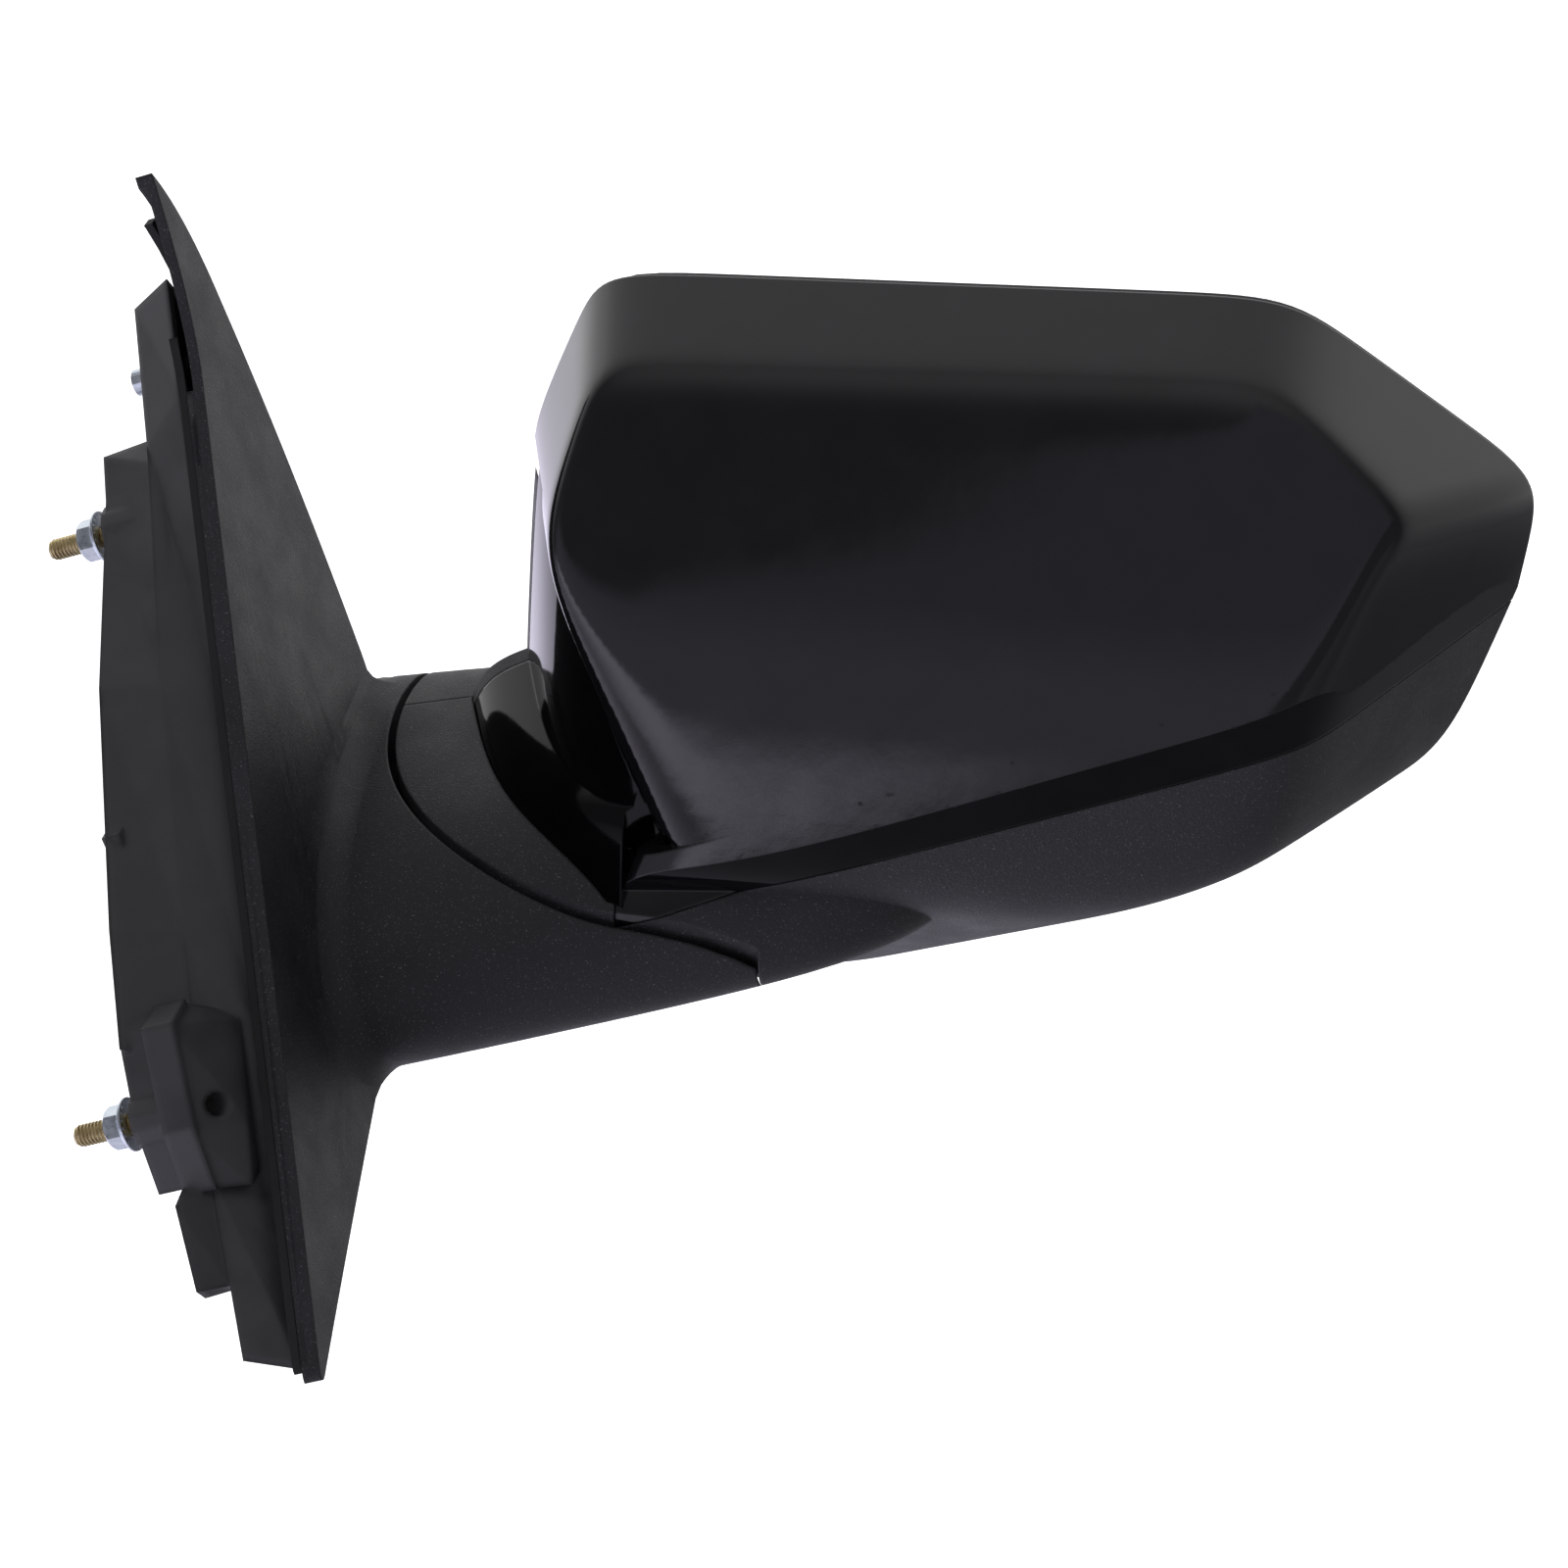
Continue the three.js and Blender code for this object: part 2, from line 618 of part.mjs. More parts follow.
function makeStud([y, up]) {
  const shank = seatBar(y, up, -16, 14, STUD_R, STUD_R, 12);
  const tip = seatBar(y, up, -18.7, -15.9, 1.9, 2.2, 12);
  const head = seatBar(y, up, 13.3, 16.5, 6.2, 6.2, 16);
  return joined([shank, tip, head]);
}

function makeNut([y, up]) {
  const hex = seatBar(y, up, -8.8, -4.2, NUT_AF / Math.sqrt(3), NUT_AF / Math.sqrt(3), 6);
  const flange = seatBar(y, up, -4.6, -2.8, NUT_FLANGE_R - 0.9, NUT_FLANGE_R, 20);
  return hex.add(flange).subtract(seatBar(y, up, -12, 2, STUD_R + CLEAR, STUD_R + CLEAR, 12));
}

function makeBaseScrew([y, up]) {
  const cap = seatBar(y, up, 12.6, 15.7, 3.6, 3.6, 20);
  const cross = seatBar(y, up, 11, 14, 1.4, 1.4, 6);
  return cap.add(seatBar(y, up, 15.6, 31, 1.3, 1.3, 12)).subtract(cross);
}

function makeGasket() {
  const ringed = sailRing(2.8, 8.5, 30.3, SAIL_OUT - LIP - 0.3);
  return largest(ringed.subtract(seatSlab(shapeOf([[0, 124], [200, 124], [200, 200], [0, 200]]), 0, 60)));
}

function makeGrommet() {
  const collars = studHole(OUTLET, 11, -1, 0.9).add(studHole(OUTLET, 11, 4.6, 7));
  return studHole(OUTLET, 9, -1, 8).add(collars).subtract(studHole(OUTLET, 4.2, -2, 12));
}

// ---- fold pivot ----
const CORE_FROM = 19.4; // seat plane to the foot casting

function makeArmCore() {
  const beam = roundedBody(ARM, SHELL + 5, 16, 10).intersect(box(10, AXIS[0] + 14, 28, 112, -120, 0));
  const web = beam.subtract(bowl(FOLD_GAP + SHELL + 0.6)).intersect(toeSpace(-SHELL - 3));
  const inTray = insetOutline(TRAY[1], 3.4);
  const inSail = seatSlab(sailOutline(9.6), CORE_FROM, 36.4);
  const root = inSail.intersect(seatLoft(inTray, inTray, CORE_FROM, 30.4).add(outboardOf(30.3)));
  const wells = BASE_SCREWS.map((at) => studHole(at, 5.2, 10, 45));
  const pocket = roundedBody(ARM, 13, 12, 8).intersect(box(48, 104, 30, 110, -120, 0));
  const spine = box(48, 104, 64, 70, -120, 0);
  const bore = bar([...AXIS, -90], [...AXIS, -30], 4, 4, 12);
  const cable = bar([AXIS[0], AXIS[1], -56], [76, AXIS[1] - 12, -42], 4, 4, 12);
  const body = web.intersect(root.add(outboardOf(36.3))).subtract(pocket.subtract(spine));
  return largest(body.subtract(joined([...wells, bore, cable])));
}

function outboardOf(level) {
  const wide = shapeOf([[-300, -300], [300, -300], [300, 300], [-300, 300]]);
  return seatSlab(wide, level, 400, 1);
}

function makePost() {
  const tube = ring(3.6, POST_R, BOWL_FLOOR - 4.6, -9.3, 20);
  return tube.add(ring(3.6, 10.5, BOWL_FLOOR - 4.6, BOWL_FLOOR - 2.6, 20));
}

function detent(inner, outer, z0, z1, up) {
  const lobes = [0, 1, 2].map((i) => {
    const a = rad(120 * i);
    const at = [AXIS[0] + 10 * Math.cos(a), AXIS[1] + 10 * Math.sin(a)];
    return bar([...at, z0 + 0.5], [...at, z1 + up], 2.4, 1.6, 10);
  });
  return ring(inner, outer, z0, z1, 20).add(joined(lobes));
}

function makeSpring() {
  const turns = 3.6;
  class Coil extends THREE.Curve {
    getPoint(t) {
      const a = t * turns * 2 * Math.PI;
      return new THREE.Vector3(
        AXIS[0] + 9.2 * Math.cos(a), AXIS[1] + 9.2 * Math.sin(a), BOWL_FLOOR + 13.4 + 17 * t);
    }
  }
  const wire = new THREE.Shape();
  wire.absarc(0, 0, 1.3, 0, 2 * Math.PI);
  const g = new THREE.ExtrudeGeometry(wire, { extrudePath: new Coil(), steps: 36, curveSegments: 2 });
  return solid(g);
}

// ---- carrier, actuator and glass ----
const FRAME_Y = [43, 46.4];
const [PX, PY, PZ] = PIVOT;
const JACKS = { tilt: [PX, PZ + LEVER], pan: [PX - LEVER, PZ] };
const CASE_SCREWS = [[PX - 36, PZ + 30], [PX + 36, PZ + 30], [PX, PZ - 34]];
const COVER_SCREWS = [[162, 78], [302, 74], [170, 24]];

function frontPlate(shape, y0, y1, steps = 5) {
  const m = new THREE.Matrix4().makeRotationX(Math.PI / 2);
  m.setPosition(new THREE.Vector3(0, y1, 0));
  return extruded(shape, y1 - y0, m, steps);
}

function rearBar([x, z], y0, y1, r, r2 = r, sides = 16) {
  return bar([x, y0, z], [x, y1, z], r, r2, sides);
}

function makeFrame() {
  const outline = roundedShape([
    [124, -28, 4], [200, -22, 8], [322, 34, 14], [316, 100, 16],
    [150, 104, 12], [144, 16, 8], [124, -10, 4],
  ]);
  const window = roundedShape([[152, 36, 3], [174, 36, 3], [174, 66, 3], [152, 66, 3]]);
  const window2 = roundedShape([[280, 30, 3], [308, 44, 3], [308, 60, 3], [280, 60, 3]]);
  const plate = frontPlate(outline, ...FRAME_Y).intersect(headForm(SHELL + 1));
  const floor = BOWL_FLOOR + 6.6;
  const barrel = ring(6.5, 13.4, floor, floor + 4.4, 20).add(ring(11.4, 13.4, floor + 4.2, -15, 20));
  const arm0 = box(124, 142, FRAME_Y[0], AXIS[1] - 12, floor, -18);
  const rib = box(131, 135, FRAME_Y[0], AXIS[1] - 12, -28, -4);
  const flange = box(124, 142, FRAME_Y[0], FRAME_Y[1], floor, -8);
  const web = joined([arm0, rib, flange]).intersect(armForm(SHELL + 1)).subtract(ring(0, 12.4, -60, 0));
  const holes = [...CASE_SCREWS, ...COVER_SCREWS].map((at) => rearBar(at, 30, 60, 1.9));
  const open = frontPlate(window, 30, 60).add(frontPlate(window2, 30, 60));
  return largest(plate.subtract(open).add(web).add(barrel).subtract(joined(holes)));
}

function makeCoverScrew(at) {
  const cap = rearBar(at, 46.7, 49.4, 3.4);
  return cap.add(rearBar(at, 37, 47, 1.3, 1.3, 10)).subtract(rearBar(at, 48, 51, 1.3, 1.3, 6));
}

function coverPost([x, z]) {
  const boss = rearBar([x, z], 8, 42.7, 3.8, 3.8, 12);
  return boss.intersect(headForm(1.2)).subtract(rearBar([x, z], 36, 60, 1.6, 1.6, 10));
}

function caseShape(inset) {
  const w = 44 - inset;
  const h = 42 - inset;
  const corners = [[-1, -1], [1, -1], [1, 1], [-1, 1]];
  return roundedShape(corners.map(([x, z]) => [PX + x * w, PZ + z * h, 12]));
}

function makeCaseFront() {
  const cup = frontPlate(caseShape(0), 46.7, 56).subtract(frontPlate(caseShape(2), 48.7, 59));
  const posts = CASE_SCREWS.map((at) => rearBar(at, 47, 56, 4));
  const guides = Object.values(JACKS).map((at) => rearBar(at, 48, 55.4, 5));
  const holes = CASE_SCREWS.map((at) => rearBar(at, 40, 70, 1.9));
  const bores = Object.values(JACKS).map((at) => rearBar(at, 48.7, 60, 3.4));
  return joined([cup, ...posts, ...guides]).subtract(joined([...holes, ...bores]));
}

function makeCaseRear() {
  const cup = frontPlate(caseShape(0), 56.3, 63.3).subtract(frontPlate(caseShape(2), 55, 61.5));
  const posts = CASE_SCREWS.map((at) => rearBar(at, 56.3, 62, 4));
  const column = rearBar([PX, PZ], 62, PY + 2.4, 5.6, 5.6, 24);
  const trunnion = bar([PX - 9, PY, PZ], [PX + 9, PY, PZ], 1.8, 1.8, 12);
  const holes = CASE_SCREWS.map((at) => rearBar(at, 50, 61.4, 1.5));
  const jacks = Object.values(JACKS).map((at) => rearBar(at, 60, 72, 3.6));
  return joined([cup, ...posts, column]).subtract(joined([trunnion, ...holes, ...jacks]));
}

function makeCaseScrew(at) {
  const cap = rearBar(at, 39.9, 42.7, 3.6);
  return cap.add(rearBar(at, 42.5, 61, 1.1, 1.1, 10)).subtract(rearBar(at, 38, 41, 1.3, 1.3, 6));
}

function makeMotor(x, z, far) {
  const can = bar([x, 54, z], [far, 54, z], 5, 5, 20);
  const side = Math.sign(far - x);
  const shaft = bar([far - side, 54, z], [far + side * 9, 54, z], 0.9, 0.9, 10);
  return joined([can, shaft, bar([far + side * 2, 54, z], [far + side * 8, 54, z], 2, 2, 12)]);
}

function makeWheel([x, z]) {
  const rim = rearBar([x, z], 57.4, 60, 8, 8, 24);
  return rim.add(rearBar([x, z], 56, 61, 5, 5, 16)).subtract(rearBar([x, z], 50, 70, 3.4, 3.4, 16));
}

function makeJack([x, z]) {
  const ball = new THREE.SphereGeometry(3.8, 12, 8);
  ball.translate(x, PY + 1.5, z);
  return rearBar([x, z], 54, PY, 2.9, 2.9, 12).add(solid(ball));
}

function makeGimbal() {
  const ringed = rearBar([PX, PZ], PY - 2.4, PY + 2.4, 10.4, 10.4, 24);
  const hollow = rearBar([PX, PZ], PY - 4, PY + 4, 7.8, 7.8, 24);
  const inner = bar([PX - 9, PY, PZ], [PX + 9, PY, PZ], 1.4, 1.4, 12);
  const outer = bar([PX, PY, PZ - 15.2], [PX, PY, PZ + 15.2], 1.4, 1.4, 12);
  const core = rearBar([PX, PZ], PY - 4, PY + 4, 3.2, 3.2, 16);
  const middle = rearBar([PX, PZ], PY - 4, PY + 4, 9, 9, 16);
  return ringed.subtract(hollow).add(inner.subtract(core)).add(outer.subtract(middle));
}

function makeHolder() {
  const plate = glassForm(0.4, GLASS_Y - 3.6, GLASS_Y - 1.2);
  const lip = glassForm(0, GLASS_Y - 3.6, GLASS_Y + 2.2);
  const inside = glassForm(2, GLASS_Y - 1.2, GLASS_Y + 5);
  const hub = rearBar([PX, PZ], PY - 2.6, GLASS_Y - 3, 15.6, 15.6, 24);
  const bore = rearBar([PX, PZ], PY - 5, GLASS_Y - 4, 11.6, 11.6, 24);
  const pins = bar([PX, PY, PZ - 20], [PX, PY, PZ + 20], 1.8, 1.8, 12);
  const cups = Object.values(JACKS).map((at) => rearBar(at, PY - 1.6, GLASS_Y - 3, 6.4, 6.4, 16));
  const seats = Object.values(JACKS).map((at) => rearBar(at, PY - 3, PY + 5.8, 4.6, 4.6, 16));
  const body = joined([plate, lip.subtract(inside), hub, ...cups]);
  return largest(body.subtract(bore).subtract(pins).subtract(joined(seats)));
}

add("base_cover", makeBaseCover(), "textured_black");
add("base_bracket", makeBracket(), "moulded_black");
add("base_gasket", makeGasket(), "seal_rubber");
for (const [name, at] of Object.entries(STUDS)) {
  add("stud_" + name, makeStud(at), "yellow_zinc");
  add("nut_" + name, makeNut(at), "zinc");
}
BASE_SCREWS.forEach((at, i) => add("base_screw_" + (i + 1), makeBaseScrew(at), "zinc"));
add("cable_grommet", makeGrommet(), "seal_rubber");
add("arm_core", makeArmCore(), "cast_alloy");
add("pivot_post", makePost(), "steel");
add("base_detent_ring", detent(6.4, 13, BOWL_FLOOR - 1.9, BOWL_FLOOR + 1.8, 0.9), "steel");
add("head_detent_ring", ring(6.4, 13, BOWL_FLOOR + 3, BOWL_FLOOR + 6.3, 20), "steel");
add("fold_spring", makeSpring(), "steel");
add("spring_retainer", ring(6.3, 10.8, -12.8, -10.5, 20), "steel");

add("front_cover", makeCover(), "gloss_black");
add("lower_cover", makeLowerCover(), "textured_black");
add("inner_trim", makeTrim(), "gloss_black");
add("rear_bezel", makeBezel(), "textured_black");
add("head_frame", makeFrame(), "moulded_black");
add("actuator_case_front", makeCaseFront(), "moulded_black");
add("actuator_case_rear", makeCaseRear(), "moulded_black");
CASE_SCREWS.forEach((at, i) => add("actuator_screw_" + (i + 1), makeCaseScrew(at), "zinc"));
COVER_SCREWS.forEach((at, i) => add("cover_screw_" + (i + 1), makeCoverScrew(at), "zinc"));
add("motor_tilt", makeMotor(PX + 34, PZ + 16, PX + 12), "steel");
add("motor_pan", makeMotor(PX + 12, PZ - 17, PX - 10), "steel");
for (const [name, at] of Object.entries(JACKS)) {
  add("wheel_" + name, makeWheel(at), "gear_plastic");
  add("jack_" + name, makeJack(at), "gear_plastic");
}
add("gimbal_ring", makeGimbal(), "gear_plastic");
add("glass_holder", makeHolder(), "moulded_black");
add("heater_pad", glassForm(3.4, GLASS_Y - 0.9, GLASS_Y - 0.3), "heater_film");
add("mirror_glass", glassForm(2.4, GLASS_Y, GLASS_Y + 2), "mirror");

export default group;
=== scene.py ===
"""Left-hand car door mirror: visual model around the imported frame. Lengths below are in millimetres."""
import json
from math import radians, sin, cos, tan, pi, hypot, sqrt

import bpy
import numpy as np
from mathutils import Matrix, Vector

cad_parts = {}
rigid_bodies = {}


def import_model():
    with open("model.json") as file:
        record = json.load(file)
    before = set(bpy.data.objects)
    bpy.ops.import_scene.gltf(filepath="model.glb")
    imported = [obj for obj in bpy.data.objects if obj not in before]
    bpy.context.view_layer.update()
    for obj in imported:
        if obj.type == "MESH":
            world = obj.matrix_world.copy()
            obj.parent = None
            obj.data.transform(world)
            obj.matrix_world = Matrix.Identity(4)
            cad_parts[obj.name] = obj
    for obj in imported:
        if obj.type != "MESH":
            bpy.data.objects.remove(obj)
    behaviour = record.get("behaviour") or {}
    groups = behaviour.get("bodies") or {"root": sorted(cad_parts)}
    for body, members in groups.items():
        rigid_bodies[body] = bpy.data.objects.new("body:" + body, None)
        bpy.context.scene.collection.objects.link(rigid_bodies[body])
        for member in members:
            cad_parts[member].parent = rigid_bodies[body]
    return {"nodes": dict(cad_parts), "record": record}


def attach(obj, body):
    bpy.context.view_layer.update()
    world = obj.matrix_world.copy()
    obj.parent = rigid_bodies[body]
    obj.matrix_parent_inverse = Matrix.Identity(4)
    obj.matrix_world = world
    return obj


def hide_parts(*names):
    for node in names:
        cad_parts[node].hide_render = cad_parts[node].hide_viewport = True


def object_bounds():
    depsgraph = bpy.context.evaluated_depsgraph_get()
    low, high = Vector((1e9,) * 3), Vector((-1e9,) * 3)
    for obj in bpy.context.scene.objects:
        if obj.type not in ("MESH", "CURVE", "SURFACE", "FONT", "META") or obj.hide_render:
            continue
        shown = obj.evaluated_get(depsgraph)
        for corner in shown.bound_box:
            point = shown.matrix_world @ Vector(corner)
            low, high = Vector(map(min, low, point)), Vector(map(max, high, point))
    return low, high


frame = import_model()
cad_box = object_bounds()

MM = 0.001

# ---- driving dimensions: all are the CAD model's, but for a narrower toe gap ----
TILT = radians(20)
CLEAR = 0.3
SAIL_OUT = 38
SAIL_WALL = 3
LIP = 5
AXIS = (133, 91)
BOWL_R = 77.6
BOWL_FLOOR = -45
BOWL_EDGE = 24
BOWL_TOP = 60
FOLD_GAP = 2.2
SHELL = 2.6
REAR = 88
BEZEL_REAR = 93.5
NECK_SPLIT = 92
PARTING_SLOPE = radians(19.3)
PARTING_X, PARTING_Z = 139, -20.5
JAW_TOP = 19
CHIN_X = 130
CHIN_BACK = 26
TOE_X = 168
TOE_GAP = 0.6
TOE_R = 32
STUDS = {"upper": (73, 53), "lower": (-53, -58), "rear": (72, -44)}
STUD_R = 2.95
NUT_AF = 10
NUT_FLANGE_R = 7.1
ROOT_FILLET = 9
BASE_SCREWS = [(98, 84), (-61, -100), (95, 14)]
COVER_SCREWS = [(162, 78), (302, 74), (170, 24)]
GLASS = [
    (123, 112, 20), (123, 24, 18), (166, -26, 14), (206, -40, 14),
    (300, 4, 17), (326, 40, 16), (332, 84, 18), (294, 115, 20),
]

HEAD_C = (232, 66, 52)
HEAD = (HEAD_C, 22, [
    (0, 23, 42),  # upper front
    (0, 11, 42),  # lower front
    (-1, 44, 69),  # brow
    (-6, 73, 71),  # roof
    (66, 53, 94.5),  # outboard shoulder
    (82, -11, 120),  # tip
    (53, -6, 86),  # outboard cheek
    (82, -43, 116),  # under the tip
    (-75, -23, 111.5),  # inboard side
    (-73, 22, 128.5),  # inboard shoulder
    (72, -72, 120),  # underside
    (180, 0, 190),  # rear, cut off later
])
# The jaw is the head with its inboard side moved out.
JAW = (HEAD_C, 22, [f for f in HEAD[2] if f[0] > -70] + [(-81, 25, 70)])
KEEL = (HEAD_C, 16, [
    (8, -10, 52),  # front below the crease
    (4, -49, 78),  # chin
    (63, -60, 84),  # underside
    (56, -15, 85),  # outboard flank
    (78, -44, 113),  # outboard underside
    (90, 0, 260),  # outboard, clear of the head
    (-90, 0, 260),  # inboard, clear of the head
    (6, 24, 120),  # front, clear of the head
    (180, 72, 200),  # top, clear of the head
    (180, 0, 190),  # rear, cut off later
])
ARM = ((110, 52, -38), 5, [
    (-53, 74, 37.5),  # top
    (12, 3, 53.5),  # front
    (-6, 44, 43),  # front shoulder
    (86, -74, 24),  # underside
    (21, -49, 46.5),  # front chine
    (174, -8, 58.5),  # rear
    (90, 0, 110),  # outboard end
    (-90, 0, 150),  # inboard end
])
CHEEK = ((160, 75, 50), 9, [
    (-72, 3, 59),  # side
    (-43, 13, 51),  # front corner
    (-74, 43, 78),  # shoulder
    (0, 90, 90),  # top
    (0, -90, 58),  # bottom
    (0, 0, 60),  # front
    (90, 0, 12),  # outboard end
    (180, 0, 60),  # rear
])
TOE = ((130, 75, -12), 9, [
    (-72, 12, 49),  # side
    (-48, 9, 50),  # front corner
    (-27, 7, 54),  # front
    (-54, 64, 34),  # top
    (0, -90, 30),  # bottom
    (90, 0, 14),  # outboard end
    (180, 0, 60),  # rear
])


# ---- camera ----
def facing(azimuth, elevation):
    """Unit vector from an azimuth, 0 forward and 90 outboard, and an elevation, both in degrees."""
    a, e = radians(azimuth), radians(elevation)
    return Vector((sin(a) * cos(e), -cos(a) * cos(e), sin(e)))


def look_from(azimuth, elevation, distance, target, lens):
    back = facing(azimuth, elevation)
    data = bpy.data.cameras.new("camera")
    data.lens = lens
    data.sensor_width = 36
    data.clip_end = 50
    cam = bpy.data.objects.new("camera", data)
    cam.location = Vector(target) + back * distance
    cam.rotation_euler = back.to_track_quat("Z", "Y").to_euler()
    bpy.context.scene.collection.objects.link(cam)
    bpy.context.scene.camera = cam


CAMERA_AZIMUTH, CAMERA_ELEVATION = 10, 28
CAMERA_DISTANCE = 1.4
CAMERA_LENS = 123.5
TARGET_OFF = Vector((0.0107, 0.0238, -0.0093))  # from the middle of the box to the point looked at
middle = (Vector(cad_box[0]) + Vector(cad_box[1])) / 2
look_from(CAMERA_AZIMUTH, CAMERA_ELEVATION, CAMERA_DISTANCE, middle + TARGET_OFF, CAMERA_LENS)

# ---- solids: meshes joined and cut, in millimetres ----
scratch = bpy.data.collections.new("scratch")
bpy.context.scene.collection.children.link(scratch)


class Solid:
    """A closed mesh; + joins, - cuts and & keeps what two share."""

    def __init__(self, verts=None, faces=None, mesh=None):
        if mesh is None:
            mesh = bpy.data.meshes.new("solid")
            mesh.from_pydata([tuple(v) for v in verts], [], faces)
        self.obj = bpy.data.objects.new("solid", mesh)
        scratch.objects.link(self.obj)

    def _with(self, other, operation):
        mod = self.obj.modifiers.new("join", "BOOLEAN")
        mod.operation = operation
        mod.solver = "MANIFOLD"
        mod.object = other.obj
        graph = bpy.context.evaluated_depsgraph_get()
        mesh = bpy.data.meshes.new_from_object(self.obj.evaluated_get(graph))
        self.obj.modifiers.clear()
        return Solid(mesh=mesh)

    def __add__(self, other):
        return self._with(other, "UNION")

    def __sub__(self, other):
        return self._with(other, "DIFFERENCE")

    def __and__(self, other):
        return self._with(other, "INTERSECT")


def total(solids):
    solids = list(solids)
    out = solids[0]
    for s in solids[1:]:
        out = out + s
    return out


def quads(rows, cols):
    """Faces of a grid of rows by cols points that closes round its columns."""
    out = []
    for i in range(rows - 1):
        for j in range(cols):
            k = (j + 1) % cols
            out.append((i * cols + j, i * cols + k, (i + 1) * cols + k, (i + 1) * cols + j))
    return out


def cube_sphere(n):
    """Points and quads of a cube pushed out to a unit sphere, n steps a side, with shared edges."""
    seen, verts, faces = {}, [], []

    def point(p):
        key = tuple(int(round(v)) for v in p)
        if key not in seen:
            seen[key] = len(verts)
            a = np.tan(np.array(key) / n * pi / 4)
            verts.append(a / np.linalg.norm(a))
        return seen[key]

    for axis in range(3):
        for side in (-n, n):
            for i in range(-n, n, 2):
                for j in range(-n, n, 2):
                    corners = []
                    for u, v in ((i, j), (i + 2, j), (i + 2, j + 2), (i, j + 2)):
                        p = [0, 0, 0]
                        p[axis] = side
                        p[(axis + 1) % 3] = u
                        p[(axis + 2) % 3] = v
                        corners.append(point(p))
                    faces.append(tuple(corners if side > 0 else corners[::-1]))
    return np.array(verts), faces


spheres = {}


def rounded(body, shrink=0, n=40):
    """The rounded polyhedron of a table of faces; shrink moves every face inwards."""
    centre, power, table = body
    if n not in spheres:
        spheres[n] = cube_sphere(n)
    dirs, faces = spheres[n]
    sums = np.zeros(len(dirs))
    for azimuth, elevation, d in table:
        sums += np.maximum(0, dirs @ np.array(facing(azimuth, elevation)) / (d - shrink)) ** power
    return Solid(np.array(centre) + dirs * (sums ** (-1 / power))[:, None], faces)


def box(x0, x1, y0, y1, z0, z1):
    verts = [(x, y, z) for x in (x0, x1) for y in (y0, y1) for z in (z0, z1)]
    faces = [(0, 1, 3, 2), (4, 6, 7, 5), (0, 4, 5, 1), (2, 3, 7, 6), (0, 2, 6, 4), (1, 5, 7, 3)]
    return Solid(verts, faces)


def prism(outline, depth, matrix):
    """Outline, counter-clockwise, pushed along the matrix's own z."""
    n = len(outline)
    verts = [matrix @ Vector((x, y, z)) for z in (0, depth) for x, y in outline]
    sides = [(i, (i + 1) % n, (i + 1) % n + n, i + n) for i in range(n)]
    return Solid(verts, [tuple(range(n))[::-1], tuple(range(n, 2 * n))] + sides)


def stacked(rows, low, high):
    """Closed piece through rings of points, with a point at each end."""
    cols = len(rows[0])
    verts = [low] + [p for row in rows for p in row] + [high]
    faces = [(0, 1 + (k + 1) % cols, 1 + k) for k in range(cols)]
    faces += [tuple(v + 1 for v in f) for f in quads(len(rows), cols)]
    last = 1 + (len(rows) - 1) * cols
    faces += [(len(verts) - 1, last + k, last + (k + 1) % cols) for k in range(cols)]
    return Solid(verts, faces)


def turned(profile, matrix, sides):
    """Turned piece about the matrix's z; the profile, of radius and height, starts and ends on it."""
    around = [(cos(2 * pi * k / sides), sin(2 * pi * k / sides)) for k in range(sides)]
    rows = [[matrix @ Vector((r * c, r * s, z)) for c, s in around] for r, z in profile[1:-1]]
    return stacked(rows, matrix @ Vector((0, 0, profile[0][1])), matrix @ Vector((0, 0, profile[-1][1])))


def lathed(profile, x, y, sides):
    return turned(profile, Matrix.Translation((x, y, 0)), sides)


def ring(inner, outer, z0, z1, sides=64):
    disc = lathed([(0, z0), (outer, z0), (outer, z1), (0, z1)], *AXIS, sides)
    if inner:
        disc = disc - lathed([(0, z0 - 1), (inner, z0 - 1), (inner, z1 + 1), (0, z1 + 1)], *AXIS, sides)
    return disc


def seat_matrix(out=0.0, y=0.0, up=0.0):
    """Seat frame: x rearward, y up the door, z away from the door."""
    c, s = cos(TILT), sin(TILT)
    m = Matrix(((0, -s, c, 0), (1, 0, 0, 0), (0, c, s, 0), (0, 0, 0, 1)))
    return m @ Matrix.Translation((y, up, out))


def seat_slab(outline, from_, to):
    return prism(outline, to - from_, seat_matrix(from_))


def seat_turned(profile, y, up, sides=32):
    """Turned piece square to the seat; the profile is radius and distance from the seat."""
    return turned(profile, seat_matrix(0, y, up), sides)


# ---- forms ----
def sloped(raise_):
    """Everything below the sloping plane of the cover's lower edge, or a raised copy of it."""
    t = tan(PARTING_SLOPE)
    z = PARTING_Z + raise_
    left, right = [(x, z + (x - PARTING_X) * t) for x in (-300, 600)]
    outline = [(-300, -500), (600, -500), right, left]
    m = Matrix(((1, 0, 0, 0), (0, 0, -1, 400), (0, 1, 0, 0), (0, 0, 0, 1)))
    return prism(outline, 800, m)


def head_form(shrink, n=30):
    keel = rounded(KEEL, shrink, n)
    skull = rounded(HEAD, shrink, n) & keel
    jaw = rounded(JAW, shrink, n) & keel
    return skull + (jaw & sloped(JAW_TOP - shrink))


def trim_form(shrink, n=24, open_=0):
    centre, power, table = CHEEK
    wide = [(a, e, d + open_ if a == 90 else d) for a, e, d in table]
    toe = rounded(TOE, shrink, n) & box(0, 200, -60, 200, -17 + shrink, 60)
    return rounded((centre, power, wide), shrink, n) + toe


